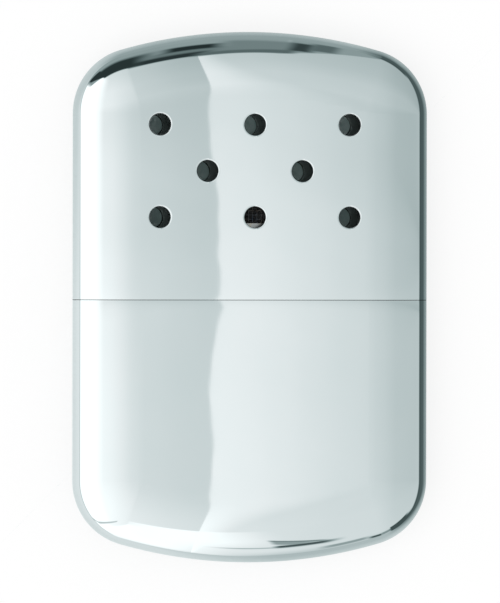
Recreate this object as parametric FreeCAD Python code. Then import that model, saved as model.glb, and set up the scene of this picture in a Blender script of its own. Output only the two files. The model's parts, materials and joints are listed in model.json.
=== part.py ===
"""Catalytic hand warmer: a vented pull-off lid over a fuel tank, with a slip-on burner on its neck.

The warmer lies on its back. X runs across its width, Y along its length with the lid at +Y, and Z
through its thickness. The origin is the middle of the rear face, the flat that it lies on.
Lengths are in millimetres.
"""

import FreeCAD
import Part

import math
import os
from dataclasses import dataclass

Vector = FreeCAD.Vector
ALONG_Y = Vector(0, 1, 0)
ALONG_Z = Vector(0, 0, 1)

# --- Lid and tank: one flat pebble form, parted by the seam -----------------------------------
body_width = 66.7
body_length = 99.0
body_depth = 13.0
end_radius = 88.0  # of the arched ends, seen from the front
edge_run = 11.0  # from the outline to where a face starts to roll over
edge_nose = 4.0  # radius of the edge at its widest
face_corner = 1.3  # corner radius of the flat part of each face
lid_length = 50.0  # from the lid's tip to the seam
sheet = 0.5  # wall of the drawn lid and tank
seam_round = 0.18  # rounding of the two rims that meet at the seam

# --- Vents: rows of three, two and three, in both faces of the lid ----------------------------
vent_diameter = 4.0
vent_column_pitch = 17.8
vent_row_pitch = 8.6
vent_first_row = 17.4  # from the lid's tip
vent_row_counts = (3, 2, 3)
vent_bevel = 0.12  # deburred rim of each vent

# --- Tank collar: the necked-in top that the lid slides over ----------------------------------
collar_height = 6.5  # shoulder above the seam
collar_insert = 5.0  # band soldered into the tank, below the seam
collar_sheet = 0.5
collar_round = 1.0  # shoulder's edge
lid_clearance = 0.12  # between collar and lid, all round
detent_radius = 1.5  # pressed dimples that grip the lid
detent_gap = 0.02
detent_spacing = 34.0

# --- Neck: the filler mouth, which also carries the burner ------------------------------------
neck_width = 27.6
neck_depth = 6.8
neck_height = 5.0  # above the shoulder
neck_sheet = 0.4
neck_flange = 1.0  # soldered rim under the shoulder
neck_rim_round = 0.15
mouth_depth = 4.5  # from the neck's rim down to the wick screen
screen_sheet = 0.3
screen_hole = 1.2
screen_pitch = 2.2
wick_length = 7.5

# --- Fuel packing -----------------------------------------------------------------------------
packing_gap = 0.15  # round the edge of each wad
lower_wad_length = 22.0

# --- Burner: stamped housing round the catalyst -----------------------------------------------
burner_sheet = 0.35
grip_gap = 0.35  # between neck and skirt, bridged by the fingers' dimples
dimple_radius = 0.9
dimple_clearance = 0.03
skirt_lift = 0.4  # skirt's lower edge above the shoulder
ledge_width = 1.0  # inward step that sits on the neck's rim
band_height = 1.6  # above the ledge, round the floor screen and the housing's foot
slit_width = 0.5
slit_length = 3.4
finger_width = 5.4
finger_count = 3  # on each long side
housing_height = 8.8
window_count = 3
window_width = 7.0
window_height = 5.6
window_corner = 1.0
window_rib = 1.2
window_sill = 0.8  # from the band's top to the windows
cloth_thickness = 0.3
cloth_hole = 1.1
cloth_pitch = 1.6
pad_thickness = 1.0
mat_gap = 0.1
cap_lip = 1.5
cap_hole = 1.6
cap_hole_pitch = 2.8

# --- Levels along Y, and the plane half-way through the thickness -----------------------------
seam = body_length / 2 - lid_length
shoulder = seam + collar_height
neck_rim = shoulder + neck_height
screen_top = neck_rim - mouth_depth
ledge_top = neck_rim + burner_sheet
band_top = ledge_top + band_height
floor_top = ledge_top + screen_sheet
housing_top = floor_top + housing_height
middle = body_depth / 2


@dataclass(frozen=True)
class Form:
    """A flat pebble: straight sides, arched ends, round corners, and edges rolled in two arcs."""

    width: float
    length: float
    depth: float
    end_radius: float
    edge_run: float
    edge_nose: float
    face_corner: float

    @property
    def corner_radius(self):
        return self.edge_run + self.face_corner

    @property
    def end_centre(self):
        """Y of the centre of the arched end."""
        return self.length / 2 - self.end_radius

    @property
    def corner_centre(self):
        x = self.width / 2 - self.corner_radius
        reach = self.end_radius - self.corner_radius
        return Vector(x, self.end_centre + math.sqrt(reach**2 - x**2), 0)

    @property
    def end_angle(self):
        """Half the angle of the arched end, in degrees."""
        corner = self.corner_centre
        return math.degrees(math.atan2(corner.x, corner.y - self.end_centre))

    def inset(self, wall):
        """The form inside this one, a wall's thickness away all round."""
        return Form(
            self.width - 2 * wall,
            self.length - 2 * wall,
            self.depth - 2 * wall,
            self.end_radius - wall,
            self.edge_run - wall,
            self.edge_nose - wall,
            self.face_corner,
        )

    def narrowed(self, gap):
        """The form as deep as this one, with its outline a gap further in."""
        return Form(
            self.width - 2 * gap,
            self.length - 2 * gap,
            self.depth,
            self.end_radius - gap,
            self.edge_run - gap,
            self.edge_nose - gap,
            self.face_corner,
        )


outer_form = Form(
    body_width, body_length, body_depth, end_radius, edge_run, edge_nose, face_corner
)
inner_form = outer_form.inset(sheet)
collar_form = inner_form.inset(lid_clearance)
collar_hollow = collar_form.inset(collar_sheet)


# --- Outlines ---------------------------------------------------------------------------------
def rolled_quarter(form, y, side):
    """The edge at +X from its face (front 1, rear -1) to the widest point: a wide arc, then the nose."""
    run, rise, nose = form.edge_run - form.edge_nose, form.depth / 2 - form.edge_nose, form.edge_nose
    sweep = 2 * math.atan2(rise, run)
    wide = nose + run / math.sin(sweep)
    face_x, side_x = form.width / 2 - form.edge_run, form.width / 2

    def on_wide(angle):
        z = form.depth / 2 - wide * (1 - math.cos(angle))
        return Vector(face_x + wide * math.sin(angle), y, middle + side * z)

    def on_nose(angle):
        x = side_x - nose * (1 - math.sin(angle))
        return Vector(x, y, middle + side * nose * math.cos(angle))

    half_nose = (sweep + math.pi / 2) / 2
    return [
        Part.Arc(on_wide(0), on_wide(sweep / 2), on_wide(sweep)).toShape(),
        Part.Arc(on_wide(sweep), on_nose(half_nose), on_nose(math.pi / 2)).toShape(),
    ]


def rolled_edge(form, y):
    """The profile of the edge at +X, in the plane of y."""
    return rolled_quarter(form, y, -1) + rolled_quarter(form, y, 1)


def turned(shape, degrees, centre=Vector(0, 0, 0), axis=ALONG_Z):
    """A copy of shape, turned about an axis through centre."""
    copy = shape.copy()
    copy.rotate(centre, axis, degrees)
    return copy


def mirrored_x(shape):
    return shape.mirror(Vector(0, 0, 0), Vector(1, 0, 0))


def closed_solid(faces):
    """The solid that a complete set of faces encloses."""
    shell = Part.Compound(faces)
    shell.sewShape()
    solid = Part.makeSolid(shell.Shells[0])
    if solid.Volume < 0:
        solid.reverse()
    return solid


def section_face(form, y):
    """The form's cross-section in the plane of y."""
    right = rolled_edge(form, y)
    left = [mirrored_x(edge) for edge in right]
    face_x = form.width / 2 - form.edge_run
    low, high = middle - form.depth / 2, middle + form.depth / 2
    rear = Part.makeLine(Vector(-face_x, y, low), Vector(face_x, y, low))
    front = Part.makeLine(Vector(-face_x, y, high), Vector(face_x, y, high))
    return Part.Face(Part.Wire(Part.__sortEdges__([rear, front, *right, *left])))


def half_pebble(form, cut_y):
    """The form's +Y end, solid, from the plane of cut_y to the tip."""
    corner, centre_y, end_angle = form.corner_centre, form.end_centre, form.end_angle
    corner_turn = 90 - end_angle
    faces = [section_face(form, cut_y)]

    # Sides are drawn straight up from the cut; corners and end are turned about their own centres.
    for edge in rolled_edge(form, cut_y):
        side = edge.extrude(Vector(0, corner.y - cut_y, 0))
        faces += [side, mirrored_x(side)]
    for edge in rolled_edge(form, corner.y):
        rounded = edge.revolve(corner, ALONG_Z, corner_turn)
        faces += [rounded, mirrored_x(rounded)]
        end_edge = turned(edge, corner_turn, corner)
        faces.append(end_edge.revolve(Vector(0, centre_y, 0), ALONG_Z, 2 * end_angle))

    for z in (middle - form.depth / 2, middle + form.depth / 2):
        faces.append(flat_of_half(form, cut_y, z))
    return closed_solid(faces)


def flat_of_half(form, cut_y, z):
    """The flat part of a face, from the plane of cut_y to where the +Y end rolls over."""
    corner = form.corner_centre
    face_x = form.width / 2 - form.edge_run
    start, turn = Vector(face_x, cut_y, z), Vector(face_x, corner.y, z)
    pivot = Vector(corner.x, corner.y, z)
    tangent = Vector(form.face_corner, 0, 0)
    half_way = pivot + turned_vector(tangent, (90 - form.end_angle) / 2)
    arch_start = pivot + turned_vector(tangent, 90 - form.end_angle)
    arch_top = Vector(0, form.length / 2 - form.edge_run, z)
    right = [
        Part.makeLine(start, turn),
        Part.Arc(turn, half_way, arch_start).toShape(),
    ]
    left = [mirrored_x(edge) for edge in right]
    mirrored_start = Vector(-arch_start.x, arch_start.y, z)
    arch = Part.Arc(arch_start, arch_top, mirrored_start).toShape()
    base = Part.makeLine(start, Vector(-start.x, cut_y, z))
    return Part.Face(Part.Wire(Part.__sortEdges__([base, arch, *right, *left])))


def turned_vector(vector, degrees):
    angle = math.radians(degrees)
    cos, sin = math.cos(angle), math.sin(angle)
    return Vector(vector.x * cos - vector.y * sin, vector.x * sin + vector.y * cos, vector.z)


def prism(form, start_y, end_y):
    """The form's cross-section, drawn out along Y."""
    return section_face(form, start_y).extrude(Vector(0, end_y - start_y, 0))


def stadium(width, depth, start_y, end_y):
    """A flat bar with round ends, on the middle plane, drawn out along Y."""
    radius, reach = depth / 2, (width - depth) / 2
    low, high = middle - radius, middle + radius
    edges = []
    for side in (1, -1):
        bottom, top = Vector(side * reach, start_y, low), Vector(side * reach, start_y, high)
        tip = Vector(side * (reach + radius), start_y, middle)
        edges.append(Part.Arc(bottom, tip, top).toShape())
    edges.append(Part.makeLine(Vector(-reach, start_y, low), Vector(reach, start_y, low)))
    edges.append(Part.makeLine(Vector(-reach, start_y, high), Vector(reach, start_y, high)))
    face = Part.Face(Part.Wire(Part.__sortEdges__(edges)))
    return face.extrude(Vector(0, end_y - start_y, 0))


def edges_at(shape, y):
    """The edges that lie whole in the plane of y."""
    box_of = [(edge, edge.BoundBox) for edge in shape.Edges]
    return [edge for edge, box in box_of if abs(box.YMin - y) < 1e-4 and abs(box.YMax - y) < 1e-4]


def spaced(count, pitch):
    """Places of count things, a pitch apart, about zero."""
    return [(index - (count - 1) / 2) * pitch for index in range(count)]


def fitted(room, pitch):
    """Places of as many things as fit in a length, a pitch apart, about zero."""
    return spaced(max(1, int(room // pitch)), pitch)


def perforated(plate, places, hole):
    """The plate, drilled along Y at each (x, z) place."""
    box = plate.BoundBox
    depth = box.YLength + 2
    drills = [
        Part.makeCylinder(hole / 2, depth, Vector(x, box.YMin - 1, middle + z), ALONG_Y)
        for x, z in places
    ]
    return plate.cut(drills)


# --- Lid and tank -----------------------------------------------------------------------------
def drawn_shell(cut_y):
    """A drawn cup with the +Y end of the form, open at cut_y, its rim rounded outside."""
    solid = half_pebble(outer_form, cut_y)
    solid = solid.makeFillet(min(seam_round, sheet / 2), edges_at(solid, cut_y))
    return solid.cut(half_pebble(inner_form, cut_y))


def vent_places():
    """(x, y) of each vent's centre."""
    tip = body_length / 2
    places = []
    for row, count in enumerate(vent_row_counts):
        y = tip - vent_first_row - row * vent_row_pitch
        places += [(x, y) for x in spaced(count, vent_column_pitch)]
    return places


def lid_shell():
    """The pull-off lid, with its vents through both faces."""
    shell = drawn_shell(seam)
    drills = [
        Part.makeCylinder(vent_diameter / 2, body_depth + 2, Vector(x, y, -1), ALONG_Z)
        for x, y in vent_places()
    ]
    shell = shell.cut(drills)
    rims = [edge for edge in shell.Edges if vent_rim(edge)]
    return shell.makeChamfer(min(vent_bevel, sheet / 2), rims)


def vent_rim(edge):
    """Whether an edge is a vent's circle on an outer face."""
    box = edge.BoundBox
    on_face = box.ZLength < 1e-4 and min(abs(box.ZMin), abs(box.ZMin - body_depth)) < 1e-4
    return on_face and max(abs(box.XLength - vent_diameter), abs(box.YLength - vent_diameter)) < 1e-3


def tank_shell():
    """The fuel tank's drawn cup."""
    return turned(drawn_shell(-seam), 180)


def tank_collar():
    """The tank's top: a band soldered in the cup, then the necked-in collar and its shoulder."""
    band = prism(inner_form, seam - collar_insert, seam)
    collar = prism(collar_form, seam, shoulder)
    collar = collar.makeFillet(collar_round, edges_at(collar, shoulder))
    hollow = prism(collar_hollow, seam - collar_insert, shoulder - collar_sheet)
    hollow = hollow.makeFillet(collar_round - collar_sheet, edges_at(hollow, shoulder - collar_sheet))
    neck_slot = stadium(neck_width, neck_depth, shoulder - 2 * collar_sheet, shoulder + 1)
    body = band.fuse([collar, *detents()]).cut([hollow, neck_slot])
    return body.removeSplitter()


def detents():
    """Low round dimples on both faces of the collar, which grip the lid."""
    proud = lid_clearance - detent_gap
    lift = collar_form.depth / 2 + proud - detent_radius
    dimples = []
    for x in (-detent_spacing / 2, detent_spacing / 2):
        for side in (1, -1):
            centre = Vector(x, (seam + shoulder) / 2, middle + side * lift)
            dimples.append(Part.makeSphere(detent_radius, centre))
    return dimples


# --- Neck, wick and packing -------------------------------------------------------------------
def neck_tube():
    """The filler neck: a flat tube with a flange under the shoulder."""
    underside = shoulder - collar_sheet
    tube = stadium(neck_width, neck_depth, underside - neck_sheet, neck_rim)
    tube = tube.makeFillet(neck_rim_round, edges_at(tube, neck_rim))
    flange = stadium(
        neck_width + 2 * neck_flange, neck_depth + 2 * neck_flange, underside - neck_sheet, underside
    )
    bore = stadium(
        neck_width - 2 * neck_sheet, neck_depth - 2 * neck_sheet, underside - 1, neck_rim + 1
    )
    return tube.fuse(flange).cut(bore).removeSplitter()


def wick_screen():
    """The perforated plate across the neck, over the wick."""
    width, depth = neck_width - 2 * neck_sheet, neck_depth - 2 * neck_sheet
    plate = stadium(width, depth, screen_top - screen_sheet, screen_top)
    places = [
        (x, z)
        for z in fitted(depth - screen_pitch / 2, screen_pitch)
        for x in fitted(width - depth, screen_pitch)
    ]
    return perforated(plate, places, screen_hole)


def wick_block(gap=0.0):
    """The wick's outline, or the pocket that takes it with a gap round it."""
    width, depth = neck_width - 2 * neck_sheet, neck_depth - 2 * neck_sheet
    top = screen_top - screen_sheet
    return stadium(width + 2 * gap, depth + 2 * gap, top - wick_length, top)


def wick_pad():
    """The felt wick, from the packing up to the screen."""
    return wick_block()


def tank_packing():
    """The lower and middle wads of cotton in the tank, as (lower, middle)."""
    wadding = inner_form.narrowed(packing_gap)
    top = seam - collar_insert
    split = -inner_form.length / 2 + lower_wad_length
    whole = turned(half_pebble(wadding, -top), 180)
    below = Part.makeBox(
        body_width, split + body_length, body_depth, Vector(-body_width / 2, -body_length, 0)
    )
    return whole.common(below), whole.cut(below)


def cotton_lower():
    return tank_packing()[0]


def cotton_middle():
    return tank_packing()[1]


def cotton_upper():
    """The wad inside the collar, with a pocket for the wick."""
    wadding = collar_hollow.narrowed(packing_gap)
    top = shoulder - collar_sheet - neck_sheet
    rounding = collar_round - collar_sheet
    wad = prism(wadding, seam - collar_insert, top)
    wad = wad.makeFillet(rounding, edges_at(wad, top))
    return wad.cut(wick_block(packing_gap))


# --- Burner -----------------------------------------------------------------------------------
skirt_inner_width = neck_width + 2 * grip_gap
skirt_inner_depth = neck_depth + 2 * grip_gap
housing_inner_width = skirt_inner_width - 2 * burner_sheet
housing_inner_depth = skirt_inner_depth - 2 * burner_sheet


def burner_base():
    """The stamped foot: a slit skirt round the neck, a ledge on its rim and a band round the housing."""
    outer_width = skirt_inner_width + 2 * burner_sheet
    outer_depth = skirt_inner_depth + 2 * burner_sheet
    foot = shoulder + skirt_lift
    body = stadium(outer_width, outer_depth, foot, band_top)
    skirt_bore = stadium(skirt_inner_width, skirt_inner_depth, foot - 1, neck_rim)
    band_bore = stadium(skirt_inner_width, skirt_inner_depth, ledge_top, band_top + 1)
    throat_width = neck_width - 2 * ledge_width
    throat = stadium(throat_width, neck_depth - 2 * ledge_width, neck_rim - 1, ledge_top + 1)
    body = body.cut([skirt_bore, band_bore, throat, *skirt_slits(foot, outer_depth)])
    return body.fuse(finger_dimples(foot)).removeSplitter()


def skirt_slits(foot, depth):
    """Slits through both long sides, which part the skirt into spring fingers."""
    slits = []
    for x in spaced(finger_count + 1, finger_width):
        corner = Vector(x - slit_width / 2, foot - 1, middle - depth)
        slits.append(Part.makeBox(slit_width, slit_length + 1, 2 * depth, corner))
    return slits


def finger_dimples(foot):
    """One round dimple inside each finger, which bears on the neck."""
    reach = neck_depth / 2 + dimple_clearance + dimple_radius
    y = foot + slit_length / 2
    mid_width, mid_depth = skirt_inner_width + burner_sheet, skirt_inner_depth + burner_sheet
    outer = stadium(mid_width, mid_depth, y - slit_length, y + slit_length)
    return [
        Part.makeSphere(dimple_radius, Vector(x, y, middle + side * reach)).common(outer)
        for x in spaced(finger_count, finger_width)
        for side in (1, -1)
    ]


def burner_floor_screen():
    """The perforated plate on the ledge, under the fillings."""
    plate = stadium(skirt_inner_width, skirt_inner_depth, ledge_top, floor_top)
    depth, width = neck_depth - 2 * ledge_width, neck_width - 2 * ledge_width
    places = [
        (x, z)
        for z in fitted(depth, screen_pitch)
        for x in fitted(width - depth, screen_pitch)
    ]
    return perforated(plate, places, screen_hole)


def window_level():
    """(sill, head) of the windows, along Y."""
    sill = band_top + window_sill
    return sill, sill + window_height


def window_cutter(x, thickness):
    """A window with round corners, through the whole housing."""
    sill, head = window_level()
    half = window_width / 2
    block = Part.makeBox(
        window_width, head - sill, thickness, Vector(x - half, sill, middle - thickness / 2)
    )
    upright = [edge for edge in block.Edges if edge.BoundBox.ZLength > thickness / 2]
    return block.makeFillet(window_corner, upright)


def frame_half(side):
    """One pressed half of the windowed housing, in front (1) or behind (-1)."""
    tube = stadium(skirt_inner_width, skirt_inner_depth, floor_top, housing_top)
    bore = stadium(housing_inner_width, housing_inner_depth, floor_top - 1, housing_top + 1)
    openings = [
        window_cutter(x, skirt_inner_depth + 2)
        for x in spaced(window_count, window_width + window_rib)
    ]
    start = middle if side > 0 else middle - skirt_inner_depth
    half = Part.makeBox(
        skirt_inner_width,
        housing_top - floor_top,
        skirt_inner_depth,
        Vector(-skirt_inner_width / 2, floor_top, start),
    )
    return tube.cut([bore, *openings]).common(half)


def burner_frame_front():
    return frame_half(1)


def burner_frame_rear():
    return frame_half(-1)


def wire_cloth(z):
    """A sheet of wire cloth that spans the housing, its rear face at z, from the pad to the cap."""
    reach = housing_inner_width - housing_inner_depth
    low, high = floor_top + pad_thickness, housing_top
    sheet_of_wire = Part.makeBox(reach, high - low, cloth_thickness, Vector(-reach / 2, low, z))
    half = cloth_hole / 2
    centre_y = (low + high) / 2
    meshes = [
        Part.makeBox(
            cloth_hole, cloth_hole, cloth_thickness + 2, Vector(x - half, centre_y + y - half, z - 1)
        )
        for x in fitted(reach, cloth_pitch)
        for y in fitted(high - low, cloth_pitch)
    ]
    return sheet_of_wire.cut(meshes)


def window_screen_front():
    return wire_cloth(middle + housing_inner_depth / 2 - cloth_thickness)


def window_screen_rear():
    return wire_cloth(middle - housing_inner_depth / 2)


def catalyst_carrier():
    return wire_cloth(middle - cloth_thickness / 2)


def heat_pad():
    """Glass wool on the floor screen, under the mats."""
    return stadium(housing_inner_width, housing_inner_depth, floor_top, floor_top + pad_thickness)


def catalyst_mat(side):
    """A fibre mat between the carrier and a window screen, in front (1) or behind (-1)."""
    low, high = floor_top + pad_thickness, housing_top - mat_gap
    near = cloth_thickness / 2
    far = housing_inner_depth / 2 - cloth_thickness
    reach = housing_inner_width - housing_inner_depth
    start = middle + near if side > 0 else middle - far
    mat = Part.makeBox(reach, high - low, far - near, Vector(-reach / 2, low, start))
    upright = [edge for edge in mat.Edges if edge.BoundBox.ZLength > (far - near) / 2]
    return mat.makeFillet(cloth_pitch, upright)


def catalyst_front():
    return catalyst_mat(1)


def catalyst_rear():
    return catalyst_mat(-1)


def burner_cap():
    """The burner's pressed lid, over the top of the housing, with a row of holes."""
    width, depth = skirt_inner_width + 2 * burner_sheet, skirt_inner_depth + 2 * burner_sheet
    top = housing_top + burner_sheet
    cup = stadium(width, depth, housing_top - cap_lip, top)
    cup = cup.makeFillet(burner_sheet * 0.8, edges_at(cup, top))
    hollow = stadium(skirt_inner_width, skirt_inner_depth, housing_top - cap_lip - 1, housing_top)
    places = [(x, 0) for x in fitted(width - depth, cap_hole_pitch)]
    return perforated(cup.cut(hollow), places, cap_hole)


NODES = (
    lid_shell,
    tank_shell,
    tank_collar,
    neck_tube,
    wick_screen,
    wick_pad,
    cotton_lower,
    cotton_middle,
    cotton_upper,
    burner_base,
    burner_floor_screen,
    heat_pad,
    burner_frame_front,
    burner_frame_rear,
    window_screen_front,
    window_screen_rear,
    catalyst_carrier,
    catalyst_front,
    catalyst_rear,
    burner_cap,
)


def main():
    os.makedirs("parts", exist_ok=True)
    for make in NODES:
        shape = make()
        shape.exportStep(f"parts/{make.__name__}.step")
        print(f"{make.__name__}: {len(shape.Solids)} solid(s), {shape.Volume:.1f} mm3")


main()
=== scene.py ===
"""Looks of a catalytic hand warmer: polished casing, stamped burner, wire cloth and packing.

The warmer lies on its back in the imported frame: X across, Y along with the lid at +Y, Z up out of
the vented face. Lengths are in metres; sizes quoted in millimetres are multiplied by MM.
"""

import json
import logging
import math
from dataclasses import dataclass, field
from enum import Enum

import bmesh
import bpy
import numpy as np
from bpy.types import Material, Node, NodeSocket, NodeTree, Object
from mathutils import Matrix, Quaternion, Vector, noise
from mathutils.bvhtree import BVHTree
from mathutils.geometry import delaunay_2d_cdt

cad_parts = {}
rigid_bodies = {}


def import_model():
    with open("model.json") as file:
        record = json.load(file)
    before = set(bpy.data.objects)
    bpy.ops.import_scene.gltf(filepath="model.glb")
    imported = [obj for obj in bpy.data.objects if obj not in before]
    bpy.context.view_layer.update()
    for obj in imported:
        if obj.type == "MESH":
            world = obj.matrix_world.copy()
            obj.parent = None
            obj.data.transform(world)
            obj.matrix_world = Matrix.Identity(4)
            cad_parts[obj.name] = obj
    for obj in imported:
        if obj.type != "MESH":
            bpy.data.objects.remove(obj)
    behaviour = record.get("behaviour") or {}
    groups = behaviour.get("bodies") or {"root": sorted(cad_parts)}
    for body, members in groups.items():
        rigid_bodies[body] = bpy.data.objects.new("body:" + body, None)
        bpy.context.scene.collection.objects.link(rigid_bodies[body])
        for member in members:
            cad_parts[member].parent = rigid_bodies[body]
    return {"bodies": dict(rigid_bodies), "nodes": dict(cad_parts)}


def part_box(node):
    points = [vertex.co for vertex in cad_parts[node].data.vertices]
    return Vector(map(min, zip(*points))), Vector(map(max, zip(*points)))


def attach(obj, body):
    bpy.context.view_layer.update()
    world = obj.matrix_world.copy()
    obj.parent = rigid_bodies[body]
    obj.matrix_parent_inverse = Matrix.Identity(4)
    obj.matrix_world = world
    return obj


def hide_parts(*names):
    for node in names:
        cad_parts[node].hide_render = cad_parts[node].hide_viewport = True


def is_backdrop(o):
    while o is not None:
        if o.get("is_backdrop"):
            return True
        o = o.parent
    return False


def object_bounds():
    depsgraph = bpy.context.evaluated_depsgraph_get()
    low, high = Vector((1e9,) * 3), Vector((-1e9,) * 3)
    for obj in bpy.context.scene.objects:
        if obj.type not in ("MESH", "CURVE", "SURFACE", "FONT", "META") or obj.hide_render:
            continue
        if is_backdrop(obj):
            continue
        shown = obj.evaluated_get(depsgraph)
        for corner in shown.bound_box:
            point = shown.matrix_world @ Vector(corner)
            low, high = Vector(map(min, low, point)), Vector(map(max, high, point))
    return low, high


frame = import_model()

MM = 0.001
MICRON = 1e-6
WHITE = "#FFFFFF"
FROM, TO = ("From Min", "From Max"), ("To Min", "To Max")  # both ends of a range, and their levels
EASED = {"interpolation_type": "SMOOTHSTEP"}  # for a range whose ends are soft
Pair = tuple[float, float]
Triple = tuple[float, float, float]
Faces = list[tuple[int, ...]]
log = logging.getLogger("hand_warmer")


# --- Node and mesh helpers ----------------------------------------------------------------------
def linear(hex_colour: str) -> tuple[float, ...]:
    """Return an sRGB colour, given as # and six hex digits, as linear RGBA with an alpha of one."""
    parts = [int(hex_colour[i : i + 2], 16) / 255 for i in (1, 3, 5)]
    return *(c / 12.92 if c <= 0.04045 else ((c + 0.055) / 1.055) ** 2.4 for c in parts), 1.0


def feed(tree: NodeTree, node: Node, inputs: dict) -> None:
    """Set or link a node's inputs.

    Args:
        tree: The node tree.
        node: The node.
        inputs: Plain values, or output sockets to link from, keyed by the name or number of the
            input. A tuple of names takes a tuple of values.
    """
    for key, value in inputs.items():
        for name, part in zip(key, value) if isinstance(key, tuple) else [(key, value)]:
            if isinstance(part, NodeSocket):
                tree.links.new(part, node.inputs[name])
            else:
                node.inputs[name].default_value = part


def add_node(
    tree: NodeTree, kind: str, inputs: dict, output: str = "", **settings: object
) -> NodeSocket | None:
    """Add a node with its settings, socket values and incoming links.

    Args:
        tree: The node tree that gets the node.
        kind: The node's type, without the "ShaderNode" in front.
        inputs: What to feed its inputs.
        output: Name of the output wanted, if it isn't the first one in use.
        settings: Attributes of the node itself, such as operation.

    Returns:
        That output, whose .node is the new node.
    """
    node = tree.nodes.new("ShaderNode" + kind)
    for name, value in settings.items():
        setattr(node, name, value)
    feed(tree, node, inputs)
    if output:
        return node.outputs[output]
    return next((socket for socket in node.outputs if socket.enabled), None)


def set_stops(ramp: NodeSocket, stops: list[tuple[float, tuple[float, ...]]]) -> None:
    """Give a colour ramp its stops.

    Args:
        ramp: The ramp node's output.
        stops: The (position, linear colour) of each stop.
    """
    elements = ramp.node.color_ramp.elements
    while len(elements) < len(stops):
        elements.new(0.5)
    for element, (position, colour) in zip(elements, stops):
        element.position = position
        element.color = colour


def make_mesh(
    name: str,
    points: np.ndarray,
    faces: Faces,
    normals: np.ndarray | None = None,
    face_slots: np.ndarray | None = None,
) -> Object:
    """Build a smooth-shaded mesh object and link it to the scene.

    Args:
        name: The object's name.
        points: Vertex positions, one row each.
        faces: Vertex indices of each face.
        normals: Exact vertex normals; a zero row keeps Blender's own normal.
        face_slots: Material slot index of each face.

    Returns:
        The new object.
    """
    mesh = bpy.data.meshes.new(name)
    mesh.from_pydata(np.asarray(points, float).tolist(), [], faces)
    mesh.validate()
    mesh.shade_smooth()
    if face_slots is not None:
        mesh.polygons.foreach_set("material_index", np.asarray(face_slots, np.int32))
    if normals is not None:
        mesh.normals_split_custom_set_from_vertices(np.asarray(normals, float).tolist())
    made = bpy.data.objects.new(name, mesh)
    bpy.context.scene.collection.objects.link(made)
    return made


def unit(vectors: np.ndarray) -> np.ndarray:
    """Return the rows of an array, each scaled to length one."""
    return vectors / np.linalg.norm(vectors, axis=1, keepdims=True)


# --- Finishes -----------------------------------------------------------------------------------
class Finish:
    """How a piece's surface was made: patterns in the piece's own space, on one shader."""

    name: str

    def surface(self, tree: NodeTree, place: NodeSocket) -> dict[str, object]:
        """Return what the finish feeds to the shader's inputs, by their names."""
        raise NotImplementedError

    def make(self) -> Material:
        """Make the finish.

        Returns:
            The new material.
        """
        material = bpy.data.materials.new(self.name)
        material.use_nodes = True
        tree = material.node_tree
        place = add_node(tree, "TexCoord", {}, "Object")
        feed(tree, tree.nodes["Principled BSDF"], self.surface(tree, place))
        return material


def streaks(
    tree: NodeTree, place: NodeSocket, pitch: float, stretch: Triple, detail: float,
    turned: Triple = (0.0, 0.0, 0.0), distortion: float = 0.0,
) -> NodeSocket:
    """Add noise that is drawn out into streaks.

    Args:
        tree: The material's node tree.
        place: The socket with the place on the object.
        pitch: Size of the noise across the streaks.
        stretch: Scale along each axis; the streaks run along the one with the smallest.
        detail: The noise's detail.
        turned: How the noise under them is turned, in radians, which gives other streaks.
        distortion: How much the streaks wander.

    Returns:
        The socket with the noise, from 0 to 1.
    """
    laid = add_node(tree, "Mapping", {"Vector": place, "Rotation": turned, "Scale": stretch})
    return add_node(
        tree, "TexNoise", {"Vector": laid, "Scale": 1 / pitch, "Detail": detail, "Distortion": distortion}
    )


@dataclass(frozen=True)
class PolishedChrome(Finish):
    """Decorative chromium plate over drawn steel, mirror-buffed.

    Gives the eye a cool, clean mirror whose sharp reflections are broken only by the faint haze
    and hairlines that a buffing wheel and a pocket leave.
    """

    name: str = "polished_chrome"
    colour: str = "#CDD3D4"
    haze_colour: str = "#C9D1D2"
    roughness: Pair = (0.012, 0.024)  # clear, hazy
    haze_size: float = 9 * MM
    haze_span: Pair = (0.35, 0.75)  # noise levels at which the haze starts and is full
    hairline_pitch: float = 0.22 * MM  # real hairlines are finer; drawn coarse enough to catch light
    hairline_stretch: float = 0.06
    hairline_depth: float = 0.05 * MICRON

    def surface(self, tree: NodeTree, place: NodeSocket) -> dict[str, object]:
        """Add the haze and the hairlines.

        Args:
            tree: The material's node tree.
            place: The socket with the place on the object.

        Returns:
            What goes into the shader's inputs, by their names.
        """
        haze = add_node(
            tree, "TexNoise", {"Vector": place, "Scale": 1 / self.haze_size, "Detail": 4.0, "Roughness": 0.6}
        )
        lines = streaks(
            tree, place, self.hairline_pitch, (1.0, self.hairline_stretch, 1.0), 2.0, turned=(0.0, 0.0, 0.5)
        )
        shades = {"Factor": haze, "A": linear(self.colour), "B": linear(self.haze_colour)}
        rough = {"Value": haze, FROM: self.haze_span, TO: self.roughness}
        return {
            "Metallic": 1.0,
            "Base Color": add_node(tree, "Mix", shades, data_type="RGBA"),
            "Roughness": add_node(tree, "MapRange", rough),
            "Normal": add_node(tree, "Bump", {"Height": lines, "Distance": self.hairline_depth}),
        }


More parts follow.
